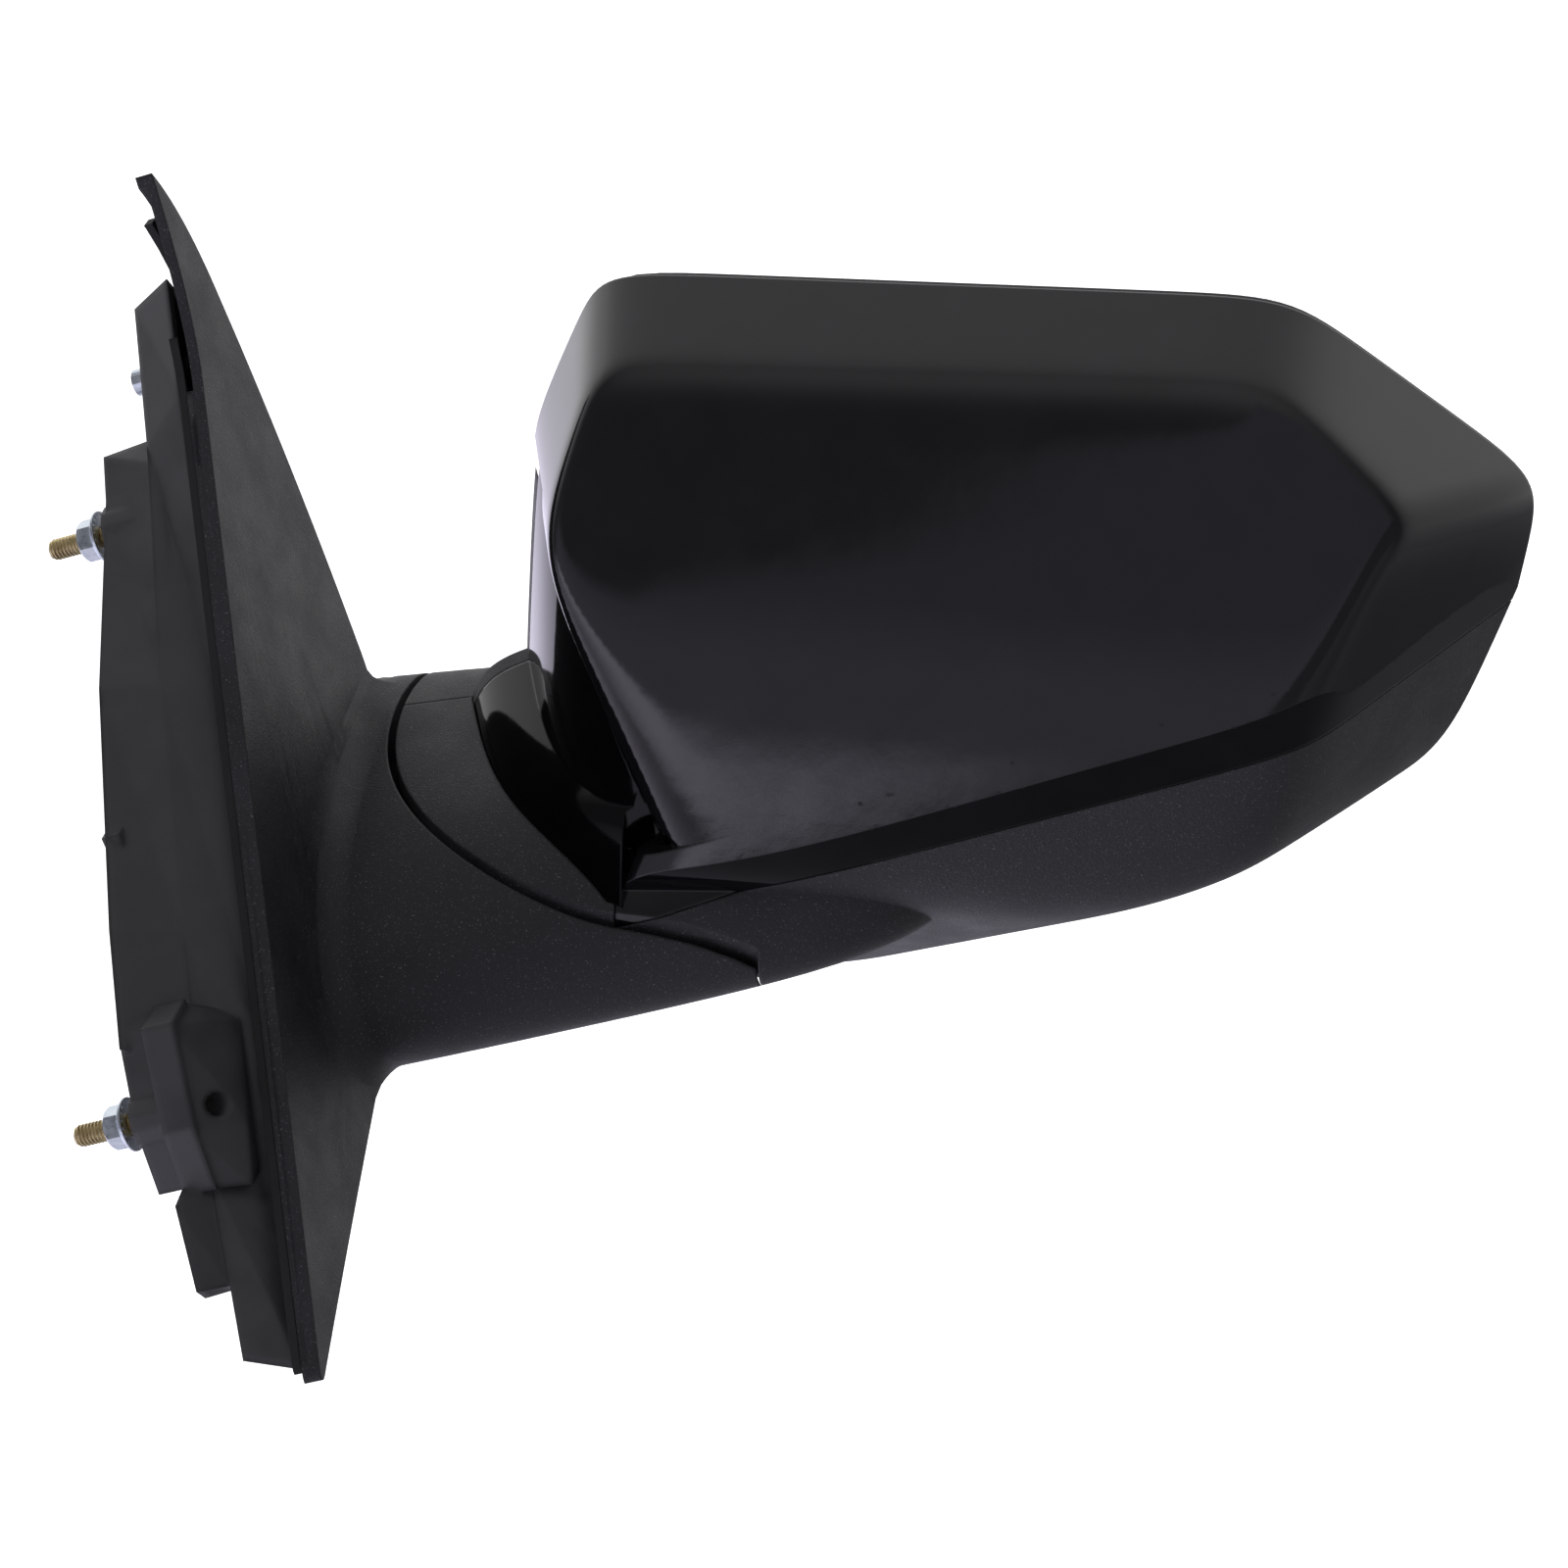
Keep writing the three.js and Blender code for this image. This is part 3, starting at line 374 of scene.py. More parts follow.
def bowl_profile(grow):
    r = BOWL_R + grow
    floor = BOWL_FLOOR - grow
    edge = BOWL_EDGE + grow
    arc = [(i / 12) * pi / 2 for i in range(13)]
    curve = [(r - edge + edge * sin(a), floor + edge - edge * cos(a)) for a in arc]
    return [(0, floor)] + curve + [(r, BOWL_TOP), (0, BOWL_TOP)]


def bowl(grow):
    profile = bowl_profile(grow)
    trough = [(AXIS[1] - r, z) for r, z in profile][::-1]
    m = Matrix(((0, 0, 1, AXIS[0]), (1, 0, 0, 0), (0, 1, 0, 0), (0, 0, 0, 1)))
    return lathed(profile, *AXIS, 160) + prism(trough, 260, m)


def neck_space(grow):
    return bowl(grow) + box(TOE_X - grow, 400, -60, 200, -120, 60)


def toe_space(grow):
    end = TOE_X - TOE_GAP + grow
    rear = lathed([(0, -200), (TOE_R + grow, -200), (TOE_R + grow, 100), (0, 100)], *AXIS, 96)
    front = box(-200, end, -200, AXIS[1], -200, 200)
    return front + box(-200, AXIS[0], 0, 300, -200, 200) + (rear & box(0, end, 0, 300, -200, 200))


def above_foot(grow):
    return box(-300, 600, -300, 300, BOWL_FLOOR - grow, 300) + box(TOE_X - grow, 600, -300, 300, -200, 300)


def fore(y):
    return box(-200, 500, -200, y, -300, 300)


def slab_plane(normal, through):
    """Half space on the side that the normal points to."""
    z = Vector(normal).normalized()
    q = z.to_track_quat("Z", "Y").to_matrix().to_4x4()
    m = Matrix.Translation(through) @ q
    return prism([(-700, -700), (700, -700), (700, 700), (-700, 700)], 700, m)


def inboard_window(grow):
    normal = facing(-75, -23)
    side = slab_plane(normal, Vector(HEAD_C) + normal * (105.5 - grow))
    lean = radians(-29)
    behind = slab_plane((0, cos(lean), sin(lean)), Vector((110, 14 - grow, 0)))
    return side & behind


def chinned(shrink, n):
    """The head with the front of the neck added under its inboard end, where the chin meets the neck."""
    corner = box(CHIN_X + CLEAR + shrink, 182, -100, 30 - shrink, -60, 30)
    return head_form(shrink, n) + ((rounded(ARM, shrink, 40) & corner) & neck_space(-shrink))


def cover_place(gap, n_out, n_in):
    wall = chinned(-gap, n_out) - chinned(SHELL + gap, n_in)
    window = inboard_window(-gap) - sloped(JAW_TOP)
    chin_end = box(-100, 160, CHIN_BACK + gap, 400, -200, 200) & sloped(JAW_TOP + 0.01)
    return (((wall & fore(REAR + gap)) - sloped(-gap)) - window) - chin_end


def under_chin(grow):
    return box(CHIN_X - grow, 182, -100, 30 + grow, -100, 100) - sloped(-CLEAR - grow)


def glass_outline(grow, steps=10):
    """Glass outline moved outwards by grow, its corners rounded."""
    pts = [Vector((x, z)) for x, z, _ in GLASS]
    n = len(pts)
    edges = []
    for i in range(n):
        d = (pts[(i + 1) % n] - pts[i]).normalized()
        edges.append((pts[i] + Vector((d.y, -d.x)) * grow, d))
    corners = []
    for i in range(n):
        (a, u), (b, v) = edges[i - 1], edges[i]
        w = b - a
        t = (w.x * v.y - w.y * v.x) / (u.x * v.y - u.y * v.x)
        corners.append(a + u * t)
    out = []
    for i, c in enumerate(corners):
        r = GLASS[i][2] + grow / 2
        start = c + (corners[i - 1] - c).normalized() * r
        end = c + (corners[(i + 1) % n] - c).normalized() * r
        for k in range(steps + 1):
            t = k / steps
            p = start * (1 - t) ** 2 + c * 2 * t * (1 - t) + end * t * t
            out.append((p.x, p.y))
    return out


def glass_form(grow, y0, y1):
    m = Matrix(((1, 0, 0, 0), (0, 0, -1, y1), (0, 1, 0, 0), (0, 0, 0, 1)))
    return prism(glass_outline(grow), y1 - y0, m)


SAIL = [
    [(-94, -116), (-98, -121), (-91, -118.5)],
    [(-91, -118.5), (0, -92), (98, -68)],
    [(98, -68), (103, -40), (108, -12)],
    [(108, -12), (115, 45), (113.5, 95)],
    [(113.5, 95), (113.5, 122), (104, 137)],
    [(104, 137), (95, 101), (80, 84)],
]


def sail_outline(inset, steps=14):
    pts = []
    for a, b, c in SAIL:
        for k in range(steps):
            t = k / steps
            pts.append(tuple(p * (1 - t) ** 2 + q * 2 * t * (1 - t) + r * t * t for p, q, r in zip(a, b, c)))
    front = 26
    start, end = (80, 84), (-94, -116)
    for k in range(front):
        t = k / front
        pts.append((start[0] + (end[0] - start[0]) * t, start[1] + (end[1] - start[1]) * t))
    mid = (11.0, 2.0)
    out = []
    for x, y in pts:
        far = hypot(x - mid[0], y - mid[1])
        out.append((x - (x - mid[0]) / far * inset, y - (y - mid[1]) / far * inset))
    return out


# ---- finished pieces ----
def finish_piece(name, made, body, material, nodes=(), sharp=20):
    """Turns a solid into a named piece in metres, riding on its body."""
    mesh = made.obj.data.copy()
    mesh.name = name
    mesh.transform(Matrix.Scale(MM, 4))
    mesh.shade_smooth()
    mesh.set_sharp_from_angle(angle=radians(sharp))
    mesh.materials.clear()
    mesh.materials.append(material)
    obj = bpy.data.objects.new(name, mesh)
    bpy.context.scene.collection.objects.link(obj)
    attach(obj, body)
    if nodes:
        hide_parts(*nodes)
    return obj


# ---- shared solids ----
head = head_form(0, 64)
head_in = head_form(SHELL, 40)
arm = rounded(ARM, 0, 48)
arm_in = rounded(ARM, SHELL, 30)
wide = [(-300, -300), (300, -300), (300, 300), (-300, 300)]
cover_seat = cover_place(CLEAR, 44, 34)
trim_in = trim_form(SHELL, 20, 120)


def largest(made):
    """The body with the most points, of those a solid has fallen into."""
    mesh = made.obj.data
    parent = list(range(len(mesh.vertices)))

    def root(a):
        while parent[a] != a:
            parent[a] = parent[parent[a]]
            a = parent[a]
        return a

    for edge in mesh.edges:
        a, b = root(edge.vertices[0]), root(edge.vertices[1])
        if a != b:
            parent[a] = b
    roots = [root(i) for i in range(len(parent))]
    best = max(set(roots), key=roots.count) if len(set(roots)) > 1 else None
    if best is None:
        return made
    kept = [i for i, r in enumerate(roots) if r == best]
    index = {v: i for i, v in enumerate(kept)}
    faces = [[index[v] for v in p.vertices] for p in mesh.polygons if roots[p.vertices[0]] == best]
    return Solid([mesh.vertices[i].co for i in kept], faces)


def rear_bar(at, y0, y1, radius, sides=32):
    m = Matrix.Translation((at[0], y1, at[1])) @ Matrix.Rotation(pi / 2, 4, "X")
    ring_ = [(radius * cos(2 * pi * k / sides), radius * sin(2 * pi * k / sides)) for k in range(sides)]
    return prism(ring_, y1 - y0, m)


# ---- head shells ----
def cover_post(at):
    boss = rear_bar(at, 8, 42.7, 3.8) & head_form(1.2, 20)
    return boss - rear_bar(at, 36, 60, 1.6)


def make_cover():
    return total([cover_place(0, 130, 50)] + [cover_post(at) for at in COVER_SCREWS])


def make_lower_cover():
    hull = ((head & sloped(-CLEAR)) & fore(REAR)) & above_foot(0)
    neck = ((arm & neck_space(0)) & fore(NECK_SPLIT)) - under_chin(0)
    neck_in = (arm_in & neck_space(-SHELL)) - under_chin(SHELL)
    hollow = ((head_in - (under_chin(SHELL) & arm)) + neck_in) + trim_form(-CLEAR)
    post = ring(0, 17, -60, -30)
    return largest((((hull + neck) - hollow) - cover_seat) - post)


def make_trim():
    outer = trim_form(0, 40)
    shell = ((outer - trim_in) - rounded(ARM, 5, 20)) - box(0, 400, -90, 200, -90, -26)
    clear = (shell - cover_seat) - box(-200, 500, REAR, 400, -300, 300)
    inside = (head + box(0, 132, -60, 200, -60, 18)) + box(0, 150, 20, 200, -60, 120)
    return largest(clear & inside)


def make_bezel():
    slot_ = head_form(SHELL + 2 * CLEAR, 50)
    cheek = (trim_form(0, 40) - head) & box(0, 200, REAR + CLEAR, BEZEL_REAR, -100, 200)
    rim = ((slot_ & box(0, 400, REAR - 8, BEZEL_REAR, -200, 200)) + cheek) & above_foot(0)
    rump = box(0, 168, NECK_SPLIT + CLEAR, 130, -100, 60)
    neck = ((arm & neck_space(0)) & rump) - box(-50, 400, 0, BEZEL_REAR, 0, 200)
    neck_in = (arm_in & neck_space(-SHELL)) - box(165, 400, 0, 200, -100, 100)
    inner = (head_form(SHELL * 2 + CLEAR, 40) + trim_in) & fore(BEZEL_REAR - SHELL)
    back = ((rim + neck) - inner) - neck_in
    well = glass_form(5.4, 82, BEZEL_REAR - 0.5)
    clear = trim_form(-CLEAR) & fore(REAR + CLEAR)
    return largest((((back + well) - glass_form(3, 60, 140)) - clear) - ring(0, 17, -60, -4))


# ---- base ----
def root_fillet(radius, columns=144, steps=8):
    """Flare that carries the foot out on to the face of the sail."""
    centre, power, table = ARM
    to_seat = seat_matrix().inverted()
    mid = to_seat @ Vector(centre)
    angles = np.arange(columns) * 2 * pi / columns
    around = np.stack((np.cos(angles), np.sin(angles)), 1)
    normals = np.array([facing(a, e) for a, e, _ in table])
    far = np.array([d for _, _, d in table])
    m = np.array(seat_matrix())[:3, :3]
    rows = []
    for i in range(-1, steps + 1):
        h = radius * max(i, 0) / steps
        level = SAIL_OUT + h
        start = np.array((mid.x, mid.y + (mid.z - level) * tan(TILT)))
        low, high = np.zeros(columns), np.full(columns, 160.0)
        for _ in range(40):
            rho = (low + high) / 2
            flat = start + around * rho[:, None]
            points = np.column_stack((flat, np.full(columns, level))) @ m.T
            gauge = (np.maximum(0, (points - np.array(centre)) @ normals.T / far) ** power).sum(1)
            low = np.where(gauge < 1, rho, low)
            high = np.where(gauge < 1, high, rho)
        rho = rho + radius - sqrt(radius ** 2 - (radius - h) ** 2) - 0.06
        flat = start + around * rho[:, None]
        rows.append(np.column_stack((flat, np.full(columns, level if i >= 0 else SAIL_OUT - 1))) @ m.T)
    return stacked(rows, rows[0].mean(0), rows[-1].mean(0))


def screw_boss(y, up):
    outer = seat_turned([(0, 20), (4, 20), (4, SAIL_OUT - 1), (0, SAIL_OUT - 1)], y, up)
    return outer - seat_turned([(0, 15), (1.5, 15), (1.5, 32), (0, 32)], y, up)


def make_base_cover():
    plate = seat_slab(sail_outline(0), SAIL_OUT - SAIL_WALL, SAIL_OUT) - arm_in
    rim = seat_slab(sail_outline(0), SAIL_OUT - LIP, SAIL_OUT - 1)
    lip = (rim - seat_slab(sail_outline(2.4), SAIL_OUT - LIP - 1, SAIL_OUT)) - arm_in
    outer = (arm & toe_space(0)) + (root_fillet(ROOT_FILLET) & seat_slab(sail_outline(0.4), 30, 80))
    inner = (arm_in & toe_space(-SHELL)) - bowl(FOLD_GAP + SHELL)
    beyond = bowl(FOLD_GAP) + box(TOE_X - TOE_GAP, 400, -60, 200, -120, 60)
    foot = ((outer - inner) & seat_slab(wide, SAIL_OUT - SAIL_WALL, 400)) - beyond
    foot = foot - ring(0, 12.4, -60, BOWL_FLOOR)
    return largest(total([plate, lip, foot] + [screw_boss(y, up) for y, up in BASE_SCREWS]))


def threaded(y, up, low, high, radius, pitch=1.0, depth=0.5, sides=36):
    """Screw thread along the seat's outward line, from low to high."""
    steps = int((high - low) / pitch * 8)
    m = seat_matrix(0, y, up)
    rows = []
    for i in range(steps + 1):
        z = low + (high - low) * i / steps
        fade = min(1, (z - low) / 1.2)
        row = []
        for k in range(sides):
            turn = (z / pitch - k / sides) % 1
            groove = abs(2 * turn - 1)
            r = (radius - depth * groove ** 1.4) * (0.78 + 0.22 * fade)
            a = 2 * pi * k / sides
            row.append(m @ Vector((r * cos(a), r * sin(a), z)))
        rows.append(row)
    return stacked(rows, m @ Vector((0, 0, low)), m @ Vector((0, 0, high)))


def make_stud(at):
    shank = threaded(*at, -18.7, -1.2, STUD_R)
    plain = seat_turned([(0, -1.6), (STUD_R - 0.35, -1.6), (STUD_R, -1.0), (STUD_R, 14), (0, 14)], *at)
    head_ = seat_turned([(0, 13.3), (5.7, 13.3), (6.2, 13.8), (6.2, 16), (5.7, 16.5), (0, 16.5)], *at, 40)
    return total([shank, plain, head_])


def make_nut(at):
    corner = NUT_AF / sqrt(3)
    hexagon = seat_turned([(0, -8.8), (corner, -8.8), (corner, -4.2), (0, -4.2)], *at, 6)
    cone = [(0, -8.9), (NUT_AF / 2 - 0.2, -8.9), (corner + 0.3, -7.9), (corner + 0.3, -4), (0, -4)]
    hexagon = hexagon & seat_turned(cone, *at, 64)
    wide_r = NUT_FLANGE_R
    skirt = [(0, -4.8), (5.0, -4.8), (wide_r - 0.5, -3.9), (wide_r, -3.4), (wide_r, -2.8), (0, -2.8)]
    teeth = [seat_turned([(0, -2.95), (0.55, -2.95), (0.3, -2.7), (0, -2.7)],
                         at[0] + 6.2 * cos(2 * pi * k / 18), at[1] + 6.2 * sin(2 * pi * k / 18), 8)
             for k in range(18)]
    bored = [(0, -12), (4.0, -12), (4.0, -8.9), (STUD_R + CLEAR, -8.1), (STUD_R + CLEAR, 2), (0, 2)]
    body = total([hexagon, seat_turned(skirt, *at, 64)]) - seat_turned(bored, *at, 40)
    return body - total(teeth)


# ---- glass ----
def make_glass():
    return glass_form(-2.4, 82.25, 84) + glass_form(-2.9, 82, 82.5)


def make_holder():
    plate = glass_form(-0.4, 78.4, 80.8)
    lip = glass_form(0, 78.4, 84.2) - glass_form(-2, 80.8, 87)
    bore = rear_bar((226, 44), 67, 78, 11.6)
    hub = rear_bar((226, 44), 69.4, 79, 15.6, 48)
    jacks = [(226, 74), (196, 44)]
    cups = [rear_bar(at, 70.4, 79, 6.4) for at in jacks]
    seats = [rear_bar(at, 69, 77.8, 4.6) for at in jacks]
    pins = prism([(1.8 * cos(a), 1.8 * sin(a)) for a in np.arange(20) * pi / 10], 40,
                 Matrix.Translation((226, 72, 24)))
    return largest((total([plate, lip, hub] + cups) - bore) - pins - total(seats))


# ---- materials ----
class Nodes:
    """Short way to build a material's or the world's nodes."""

    def __init__(self, tree):
        self.tree = tree
        tree.nodes.clear()

    def add(self, kind, inputs=None, **settings):
        node = self.tree.nodes.new(kind)
        for key, value in settings.items():
            setattr(node, key, value)
        for key, value in (inputs or {}).items():
            if isinstance(value, bpy.types.NodeSocket):
                self.tree.links.new(value, node.inputs[key])
            else:
                node.inputs[key].default_value = value
        return node

    def math(self, operation, a, b=0.0, c=0.0):
        return self.add("ShaderNodeMath", {0: a, 1: b, 2: c}, operation=operation).outputs[0]

    def spread(self, value, low, high, start=0.3, end=0.7):
        ins = {"Value": value, "From Min": start, "From Max": end, "To Min": low, "To Max": high}
        return self.add("ShaderNodeMapRange", ins).outputs[0]

    def noise(self, at, scale, detail=3.0, rough=0.5):
        ins = {"Vector": at, "Scale": scale, "Detail": detail, "Roughness": rough}
        return self.add("ShaderNodeTexNoise", ins).outputs["Fac"]

    def mix(self, fac, a, b):
        node = self.add("ShaderNodeMix", data_type="RGBA")
        for socket, value in zip((node.inputs[0], node.inputs[6], node.inputs[7]), (fac, a, b)):
            if isinstance(value, bpy.types.NodeSocket):
                self.tree.links.new(value, socket)
            else:
                socket.default_value = value
        return node.outputs[2]


def colour(r, g, b):
    return (r, g, b, 1.0)


def make_material(name, low, high, rough, metal=0.0, grain=(900, 0.1), wave=None, bevel=0.5,
                  wear=None, shine=0.5, blotch=70, stretch=(1, 1, 1), painted_glints=0.0, painted_underside_shade=None):
    """A finish: two colours in blotches, roughness that wanders, a grain in relief and rounded edges, with
    painted glints as pale specks and painted shade on downward faces where asked.
    """
    mat = bpy.data.materials.new(name)
    mat.use_nodes = True
    n = Nodes(mat.node_tree)
    place = n.add("ShaderNodeTexCoord").outputs["Object"]
    if stretch != (1, 1, 1):
        place = n.add("ShaderNodeMapping", {"Vector": place, "Scale": stretch}).outputs[0]
    patches = n.noise(place, blotch, 4, 0.6)
    fine = n.noise(place, grain[0], 4, 0.6)
    edge = n.add("ShaderNodeBevel", {"Radius": bevel * MM}, samples=4).outputs[0]
    relief = n.add("ShaderNodeBump", {"Strength": grain[1], "Distance": 0.0002, "Height": fine,
                                      "Normal": edge})
    if wave:
        slow = n.noise(place, wave[0], 2, 0.4)
        relief = n.add("ShaderNodeBump", {"Strength": wave[1], "Distance": 0.001, "Height": slow,
                                          "Normal": relief.outputs[0]})
    base = n.mix(n.spread(patches, 0.0, 1.0), colour(*low), colour(*high))
    if wear:
        flat = n.add("ShaderNodeNewGeometry").outputs["Normal"]
        bent = n.add("ShaderNodeVectorMath", {0: edge, 1: flat}, operation="DOT_PRODUCT").outputs["Value"]
        worn = n.math("MULTIPLY", n.spread(bent, 1.0, 0.0, 0.9, 0.995), n.spread(fine, 0.2, 1.0))
        base = n.mix(worn, base, colour(*wear))
    # Painted glints: pale lavender specks in the base colour stand in for the grain's sparkle in light.
    if painted_glints:
        glint_specks = n.noise(place, 2100, 1, 0.5)
        base = n.mix(n.spread(glint_specks, 0.0, painted_glints, 0.66, 0.74), base, colour(0.55, 0.53, 0.6))
    smooth = n.math("ADD", n.spread(patches, rough[0], rough[1]), n.spread(fine, -0.02, 0.02))
    ins = {"Base Color": base, "Metallic": metal, "Roughness": smooth, "Specular IOR Level": shine,
           "Normal": relief.outputs[0]}
    # Painted shade: the specular level falls on faces that point downwards, so undersides reflect less and
    # look darker.
    if painted_underside_shade is not None:
        up = n.add("ShaderNodeSeparateXYZ", {0: n.add("ShaderNodeNewGeometry").outputs["Normal"]}).outputs[2]
        ins["Specular IOR Level"] = n.spread(up, painted_underside_shade, shine, -0.12, 0.0)
    shader = n.add("ShaderNodeBsdfPrincipled", ins)
    n.add("ShaderNodeOutputMaterial", {"Surface": shader.outputs[0]})
    return mat


def make_heater():
    """Film with a printed track that runs to and fro."""
    mat = bpy.data.materials.new("heater_film")
    mat.use_nodes = True
    n = Nodes(mat.node_tree)
    place = n.add("ShaderNodeTexCoord").outputs["Object"]
    lines = n.add("ShaderNodeTexWave", {"Vector": place, "Scale": 60.0, "Distortion": 0.6, "Detail": 1.0},
                  bands_direction="Z").outputs["Fac"]
    track = n.spread(lines, 0.0, 1.0, 0.7, 0.78)
    base = n.mix(track, colour(0.04, 0.032, 0.028), colour(0.32, 0.2, 0.12))
    rough = n.spread(n.noise(place, 200), 0.35, 0.55)
    bump = n.add("ShaderNodeBump", {"Strength": 0.3, "Distance": 0.0001, "Height": track}).outputs[0]
    shader = n.add("ShaderNodeBsdfPrincipled", {"Base Color": base, "Roughness": rough, "Normal": bump})
    n.add("ShaderNodeOutputMaterial", {"Surface": shader.outputs[0]})
    return mat


MATERIALS = {
    # gloss_black carries painted shade: its specular level drops to 0.12 on faces that point downwards.
    "gloss_black": make_material("gloss_black", (0.0035, 0.0035, 0.004), (0.006, 0.006, 0.007),
                                 (0.035, 0.075), grain=(2400, 0.012), wave=(150, 0.012), bevel=0.8,
                                 painted_underside_shade=0.12),
    # A darker, less reflective copy of gloss_black for the inner trim: painted shade for its recessed place
    # facing inboard.
    "trim_black_shaded_copy": make_material("trim_black_shaded_copy", (0.001, 0.001, 0.0012), (0.002, 0.002, 0.0024), (0.05, 0.09),
                                grain=(2400, 0.01), wave=(150, 0.01), bevel=0.8, shine=0.2),
    # textured_black carries painted glints as pale specks in its colour.
    "textured_black": make_material("textured_black", (0.014, 0.014, 0.0155), (0.02, 0.02, 0.0225),
                                    (0.46, 0.6), grain=(1500, 0.8), bevel=0.9, shine=0.4, painted_glints=0.16),
    "moulded_black": make_material("moulded_black", (0.034, 0.034, 0.035), (0.046, 0.046, 0.047),
                                   (0.36, 0.56), grain=(1800, 0.25), wave=(90, 0.05), bevel=2.5),
    "seal_rubber": make_material("seal_rubber", (0.006, 0.006, 0.006), (0.013, 0.013, 0.013), (0.68, 0.86),
                                 grain=(1400, 0.3), bevel=0.5),
    "zinc": make_material("zinc", (0.5, 0.56, 0.62), (0.74, 0.79, 0.84), (0.22, 0.42), 1.0, (1900, 0.12),
                          bevel=0.25, wear=(0.9, 0.92, 0.95), blotch=420),
    "yellow_zinc": make_material("yellow_zinc", (0.42, 0.31, 0.13), (0.7, 0.58, 0.32), (0.22, 0.42), 1.0,
                                 (2100, 0.12), bevel=0.15, wear=(0.93, 0.85, 0.65), blotch=520),
    "steel": make_material("steel", (0.36, 0.36, 0.37), (0.55, 0.55, 0.56), (0.28, 0.48), 1.0, (1500, 0.2),
                           bevel=0.25, wear=(0.75, 0.75, 0.76), blotch=300, stretch=(1, 1, 6)),
    "mirror": make_material("mirror", (0.82, 0.84, 0.86), (0.87, 0.89, 0.9), (0.004, 0.03), 1.0, (700, 0.002),
                            bevel=0.4, blotch=25),
    "gear_plastic": make_material("gear_plastic", (0.62, 0.59, 0.5), (0.72, 0.69, 0.61), (0.35, 0.5),
                                  grain=(1500, 0.12), bevel=0.3),
    "cast_alloy": make_material("cast_alloy", (0.3, 0.3, 0.31), (0.46, 0.46, 0.47), (0.4, 0.62), 1.0,
                                (1100, 0.5), wave=(160, 0.12), bevel=0.7, wear=(0.66, 0.66, 0.67)),
    "heater_film": make_heater(),
}

# ---- pieces ----
visual = [
    ("cover_shell", make_cover, "head", "gloss_black", "front_cover"),
    ("lower_shell", make_lower_cover, "head", "textured_black", "lower_cover"),
    ("trim_shell", make_trim, "head", "gloss_black", "inner_trim"),
    ("bezel_shell", make_bezel, "head", "textured_black", "rear_bezel"),
    ("base_shell", make_base_cover, "base", "textured_black", "base_cover"),
    ("glass_plate", make_glass, "glass", "mirror", "mirror_glass"),
    ("glass_carrier", make_holder, "glass", "moulded_black", "glass_holder"),
]
# The inner trim takes the shaded copy of gloss_black in place of its own slot: painted shade.
shaded_copy_finish = {"trim_shell": "trim_black_shaded_copy"}
for name, make, body, slot_name, node in visual:
    finish_piece(name, make(), body, MATERIALS[shaded_copy_finish.get(name, slot_name)], [node])
for name, at in STUDS.items():
    finish_piece("thread_" + name, make_stud(at), "base", MATERIALS["yellow_zinc"],
                 ["stud_" + name])
    finish_piece("flange_nut_" + name, make_nut(at), "base", MATERIALS["zinc"], ["nut_" + name], 25)

for obj in list(scratch.objects):
    bpy.data.objects.remove(obj)
bpy.data.collections.remove(scratch)

slots = {part["node"]: part["material_slot"] for part in frame["record"]["subparts"]}
for node, obj in frame["nodes"].items():
    obj.data.materials.clear()
    obj.data.materials.append(MATERIALS[slots[node]])


# ---- floor and light ----
def make_floor():
    """Pale floor with pale walls far away on all four sides."""
    half, z = 12.0, cad_box[0][2] - 0.16
    around = [(-half, -half), (half, -half), (half, half), (-half, half)]
    corners = [(x, y, level) for level in (z, z + half) for x, y in around]
    sides = [(0, 1, 2, 3)] + [(i, (i + 1) % 4, (i + 1) % 4 + 4, i + 4) for i in range(4)]
    mesh = bpy.data.meshes.new("floor")
    mesh.from_pydata(corners, [], sides)
    mat = bpy.data.materials.new("floor")
    mat.use_nodes = True
    n = Nodes(mat.node_tree)
    place = n.add("ShaderNodeTexCoord").outputs["Object"]
    base = n.mix(n.noise(place, 6), colour(0.9, 0.9, 0.91), colour(0.93, 0.93, 0.94))
    ins = {"Base Color": base, "Roughness": 0.9, "Emission Color": colour(1.0, 1.0, 1.0),
           "Emission Strength": 0.85}
    shader = n.add("ShaderNodeBsdfPrincipled", ins)
    n.add("ShaderNodeOutputMaterial", {"Surface": shader.outputs[0]})
    mesh.materials.append(mat)
    floor = bpy.data.objects.new("floor", mesh)
    bpy.context.scene.collection.objects.link(floor)
    floor.visible_diffuse = False
    floor.visible_glossy = False
    floor.visible_shadow = False


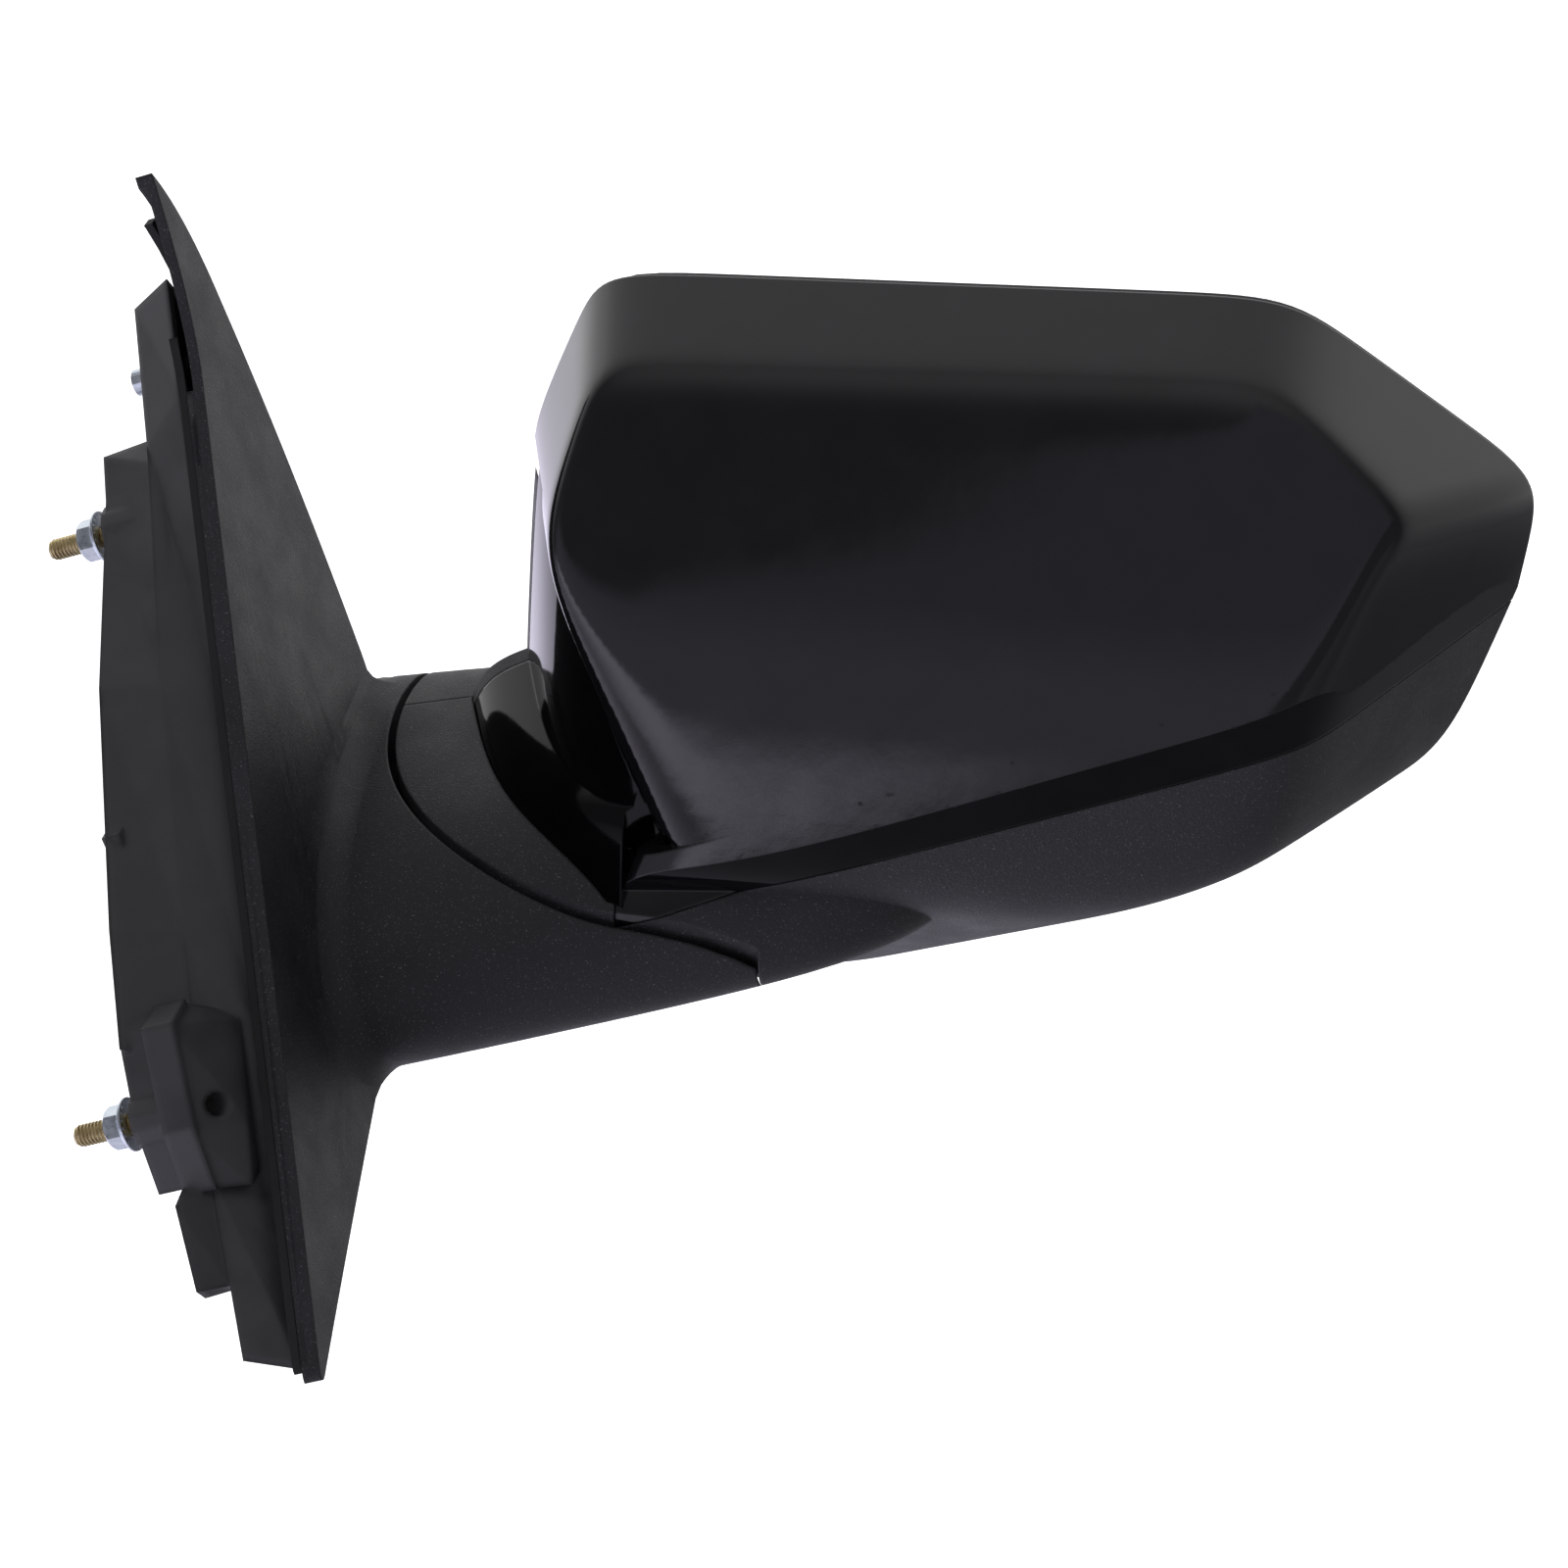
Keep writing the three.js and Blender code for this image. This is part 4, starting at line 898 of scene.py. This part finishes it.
def make_world():
    """White behind, dim in front, and a soft patch low down on the inboard side."""
    world = bpy.data.worlds.new("studio")
    bpy.context.scene.world = world
    world.use_nodes = True
    n = Nodes(world.node_tree)
    way = n.add("ShaderNodeTexCoord").outputs["Generated"]
    parts = n.add("ShaderNodeSeparateXYZ", {0: way}).outputs
    high = n.math("MULTIPLY", n.math("POWER", n.spread(parts[2], 0.0, 1.0, 0.42, 1.0), 2.2), 0.36)
    behind = n.spread(parts[1], 0.0, 1.0, 0.02, 0.5)
    behind = n.math("MULTIPLY", behind, n.spread(parts[2], 1.0, 0.42, 0.45, 0.85))
    tone = n.mix(n.math("MAXIMUM", high, behind), colour(0.16, 0.16, 0.17), colour(1.12, 1.12, 1.14))
    under = n.spread(parts[2], 1.0, 0.0, -0.4, -0.15)
    tone = n.mix(under, tone, n.mix(n.spread(parts[0], 0.0, 1.0, -0.35, 0.12), colour(1.3, 1.24, 1.5),
                                    colour(0.3, 0.3, 0.32)))
    line = n.math("MULTIPLY_ADD", n.math("MAXIMUM", parts[0], -0.2), -2.6, parts[2])
    wedge = n.math("MULTIPLY_ADD", parts[2], -2.5, parts[0])
    low = n.math("MULTIPLY", n.spread(line, 1.0, 0.0, 0.63, 0.7), n.spread(wedge, 1.0, 0.1, 0.14, 0.156))
    low = n.math("MULTIPLY", low, n.spread(parts[2], 0.0, 1.0, -0.3, -0.14))
    low = n.math("MULTIPLY", low, n.spread(parts[1], 1.0, 0.0, -0.4, -0.1))
    strong = n.spread(parts[2], 1.0, 0.29, -0.112, -0.092)
    strong = n.math("ADD", strong, n.spread(parts[2], 0.0, -0.09, 0.0, 0.2))
    patch = n.mix(strong, colour(0.0, 0.0, 0.0), colour(1.75, 1.7, 2.02))
    tone = n.mix(low, tone, patch)
    back = n.add("ShaderNodeBackground", {"Color": tone, "Strength": 1.0})
    n.add("ShaderNodeOutputWorld", {"Surface": back.outputs[0]})


def area_light(name, place, aim, size, power):
    data = bpy.data.lights.new(name, "AREA")
    data.shape = "DISK"
    data.size = size
    data.energy = power
    obj = bpy.data.objects.new(name, data)
    obj.location = place
    obj.rotation_euler = (Vector(place) - Vector(aim)).to_track_quat("Z", "Y").to_euler()
    obj.visible_glossy = False
    bpy.context.scene.collection.objects.link(obj)


make_floor()
make_world()
KEY_PLACE = (-1.3, -0.9, 2.1)
KEY_SIZE, KEY_POWER = 1.1, 18
area_light("key", KEY_PLACE, middle, KEY_SIZE, KEY_POWER)
bpy.context.scene.view_settings.view_transform = "Standard"
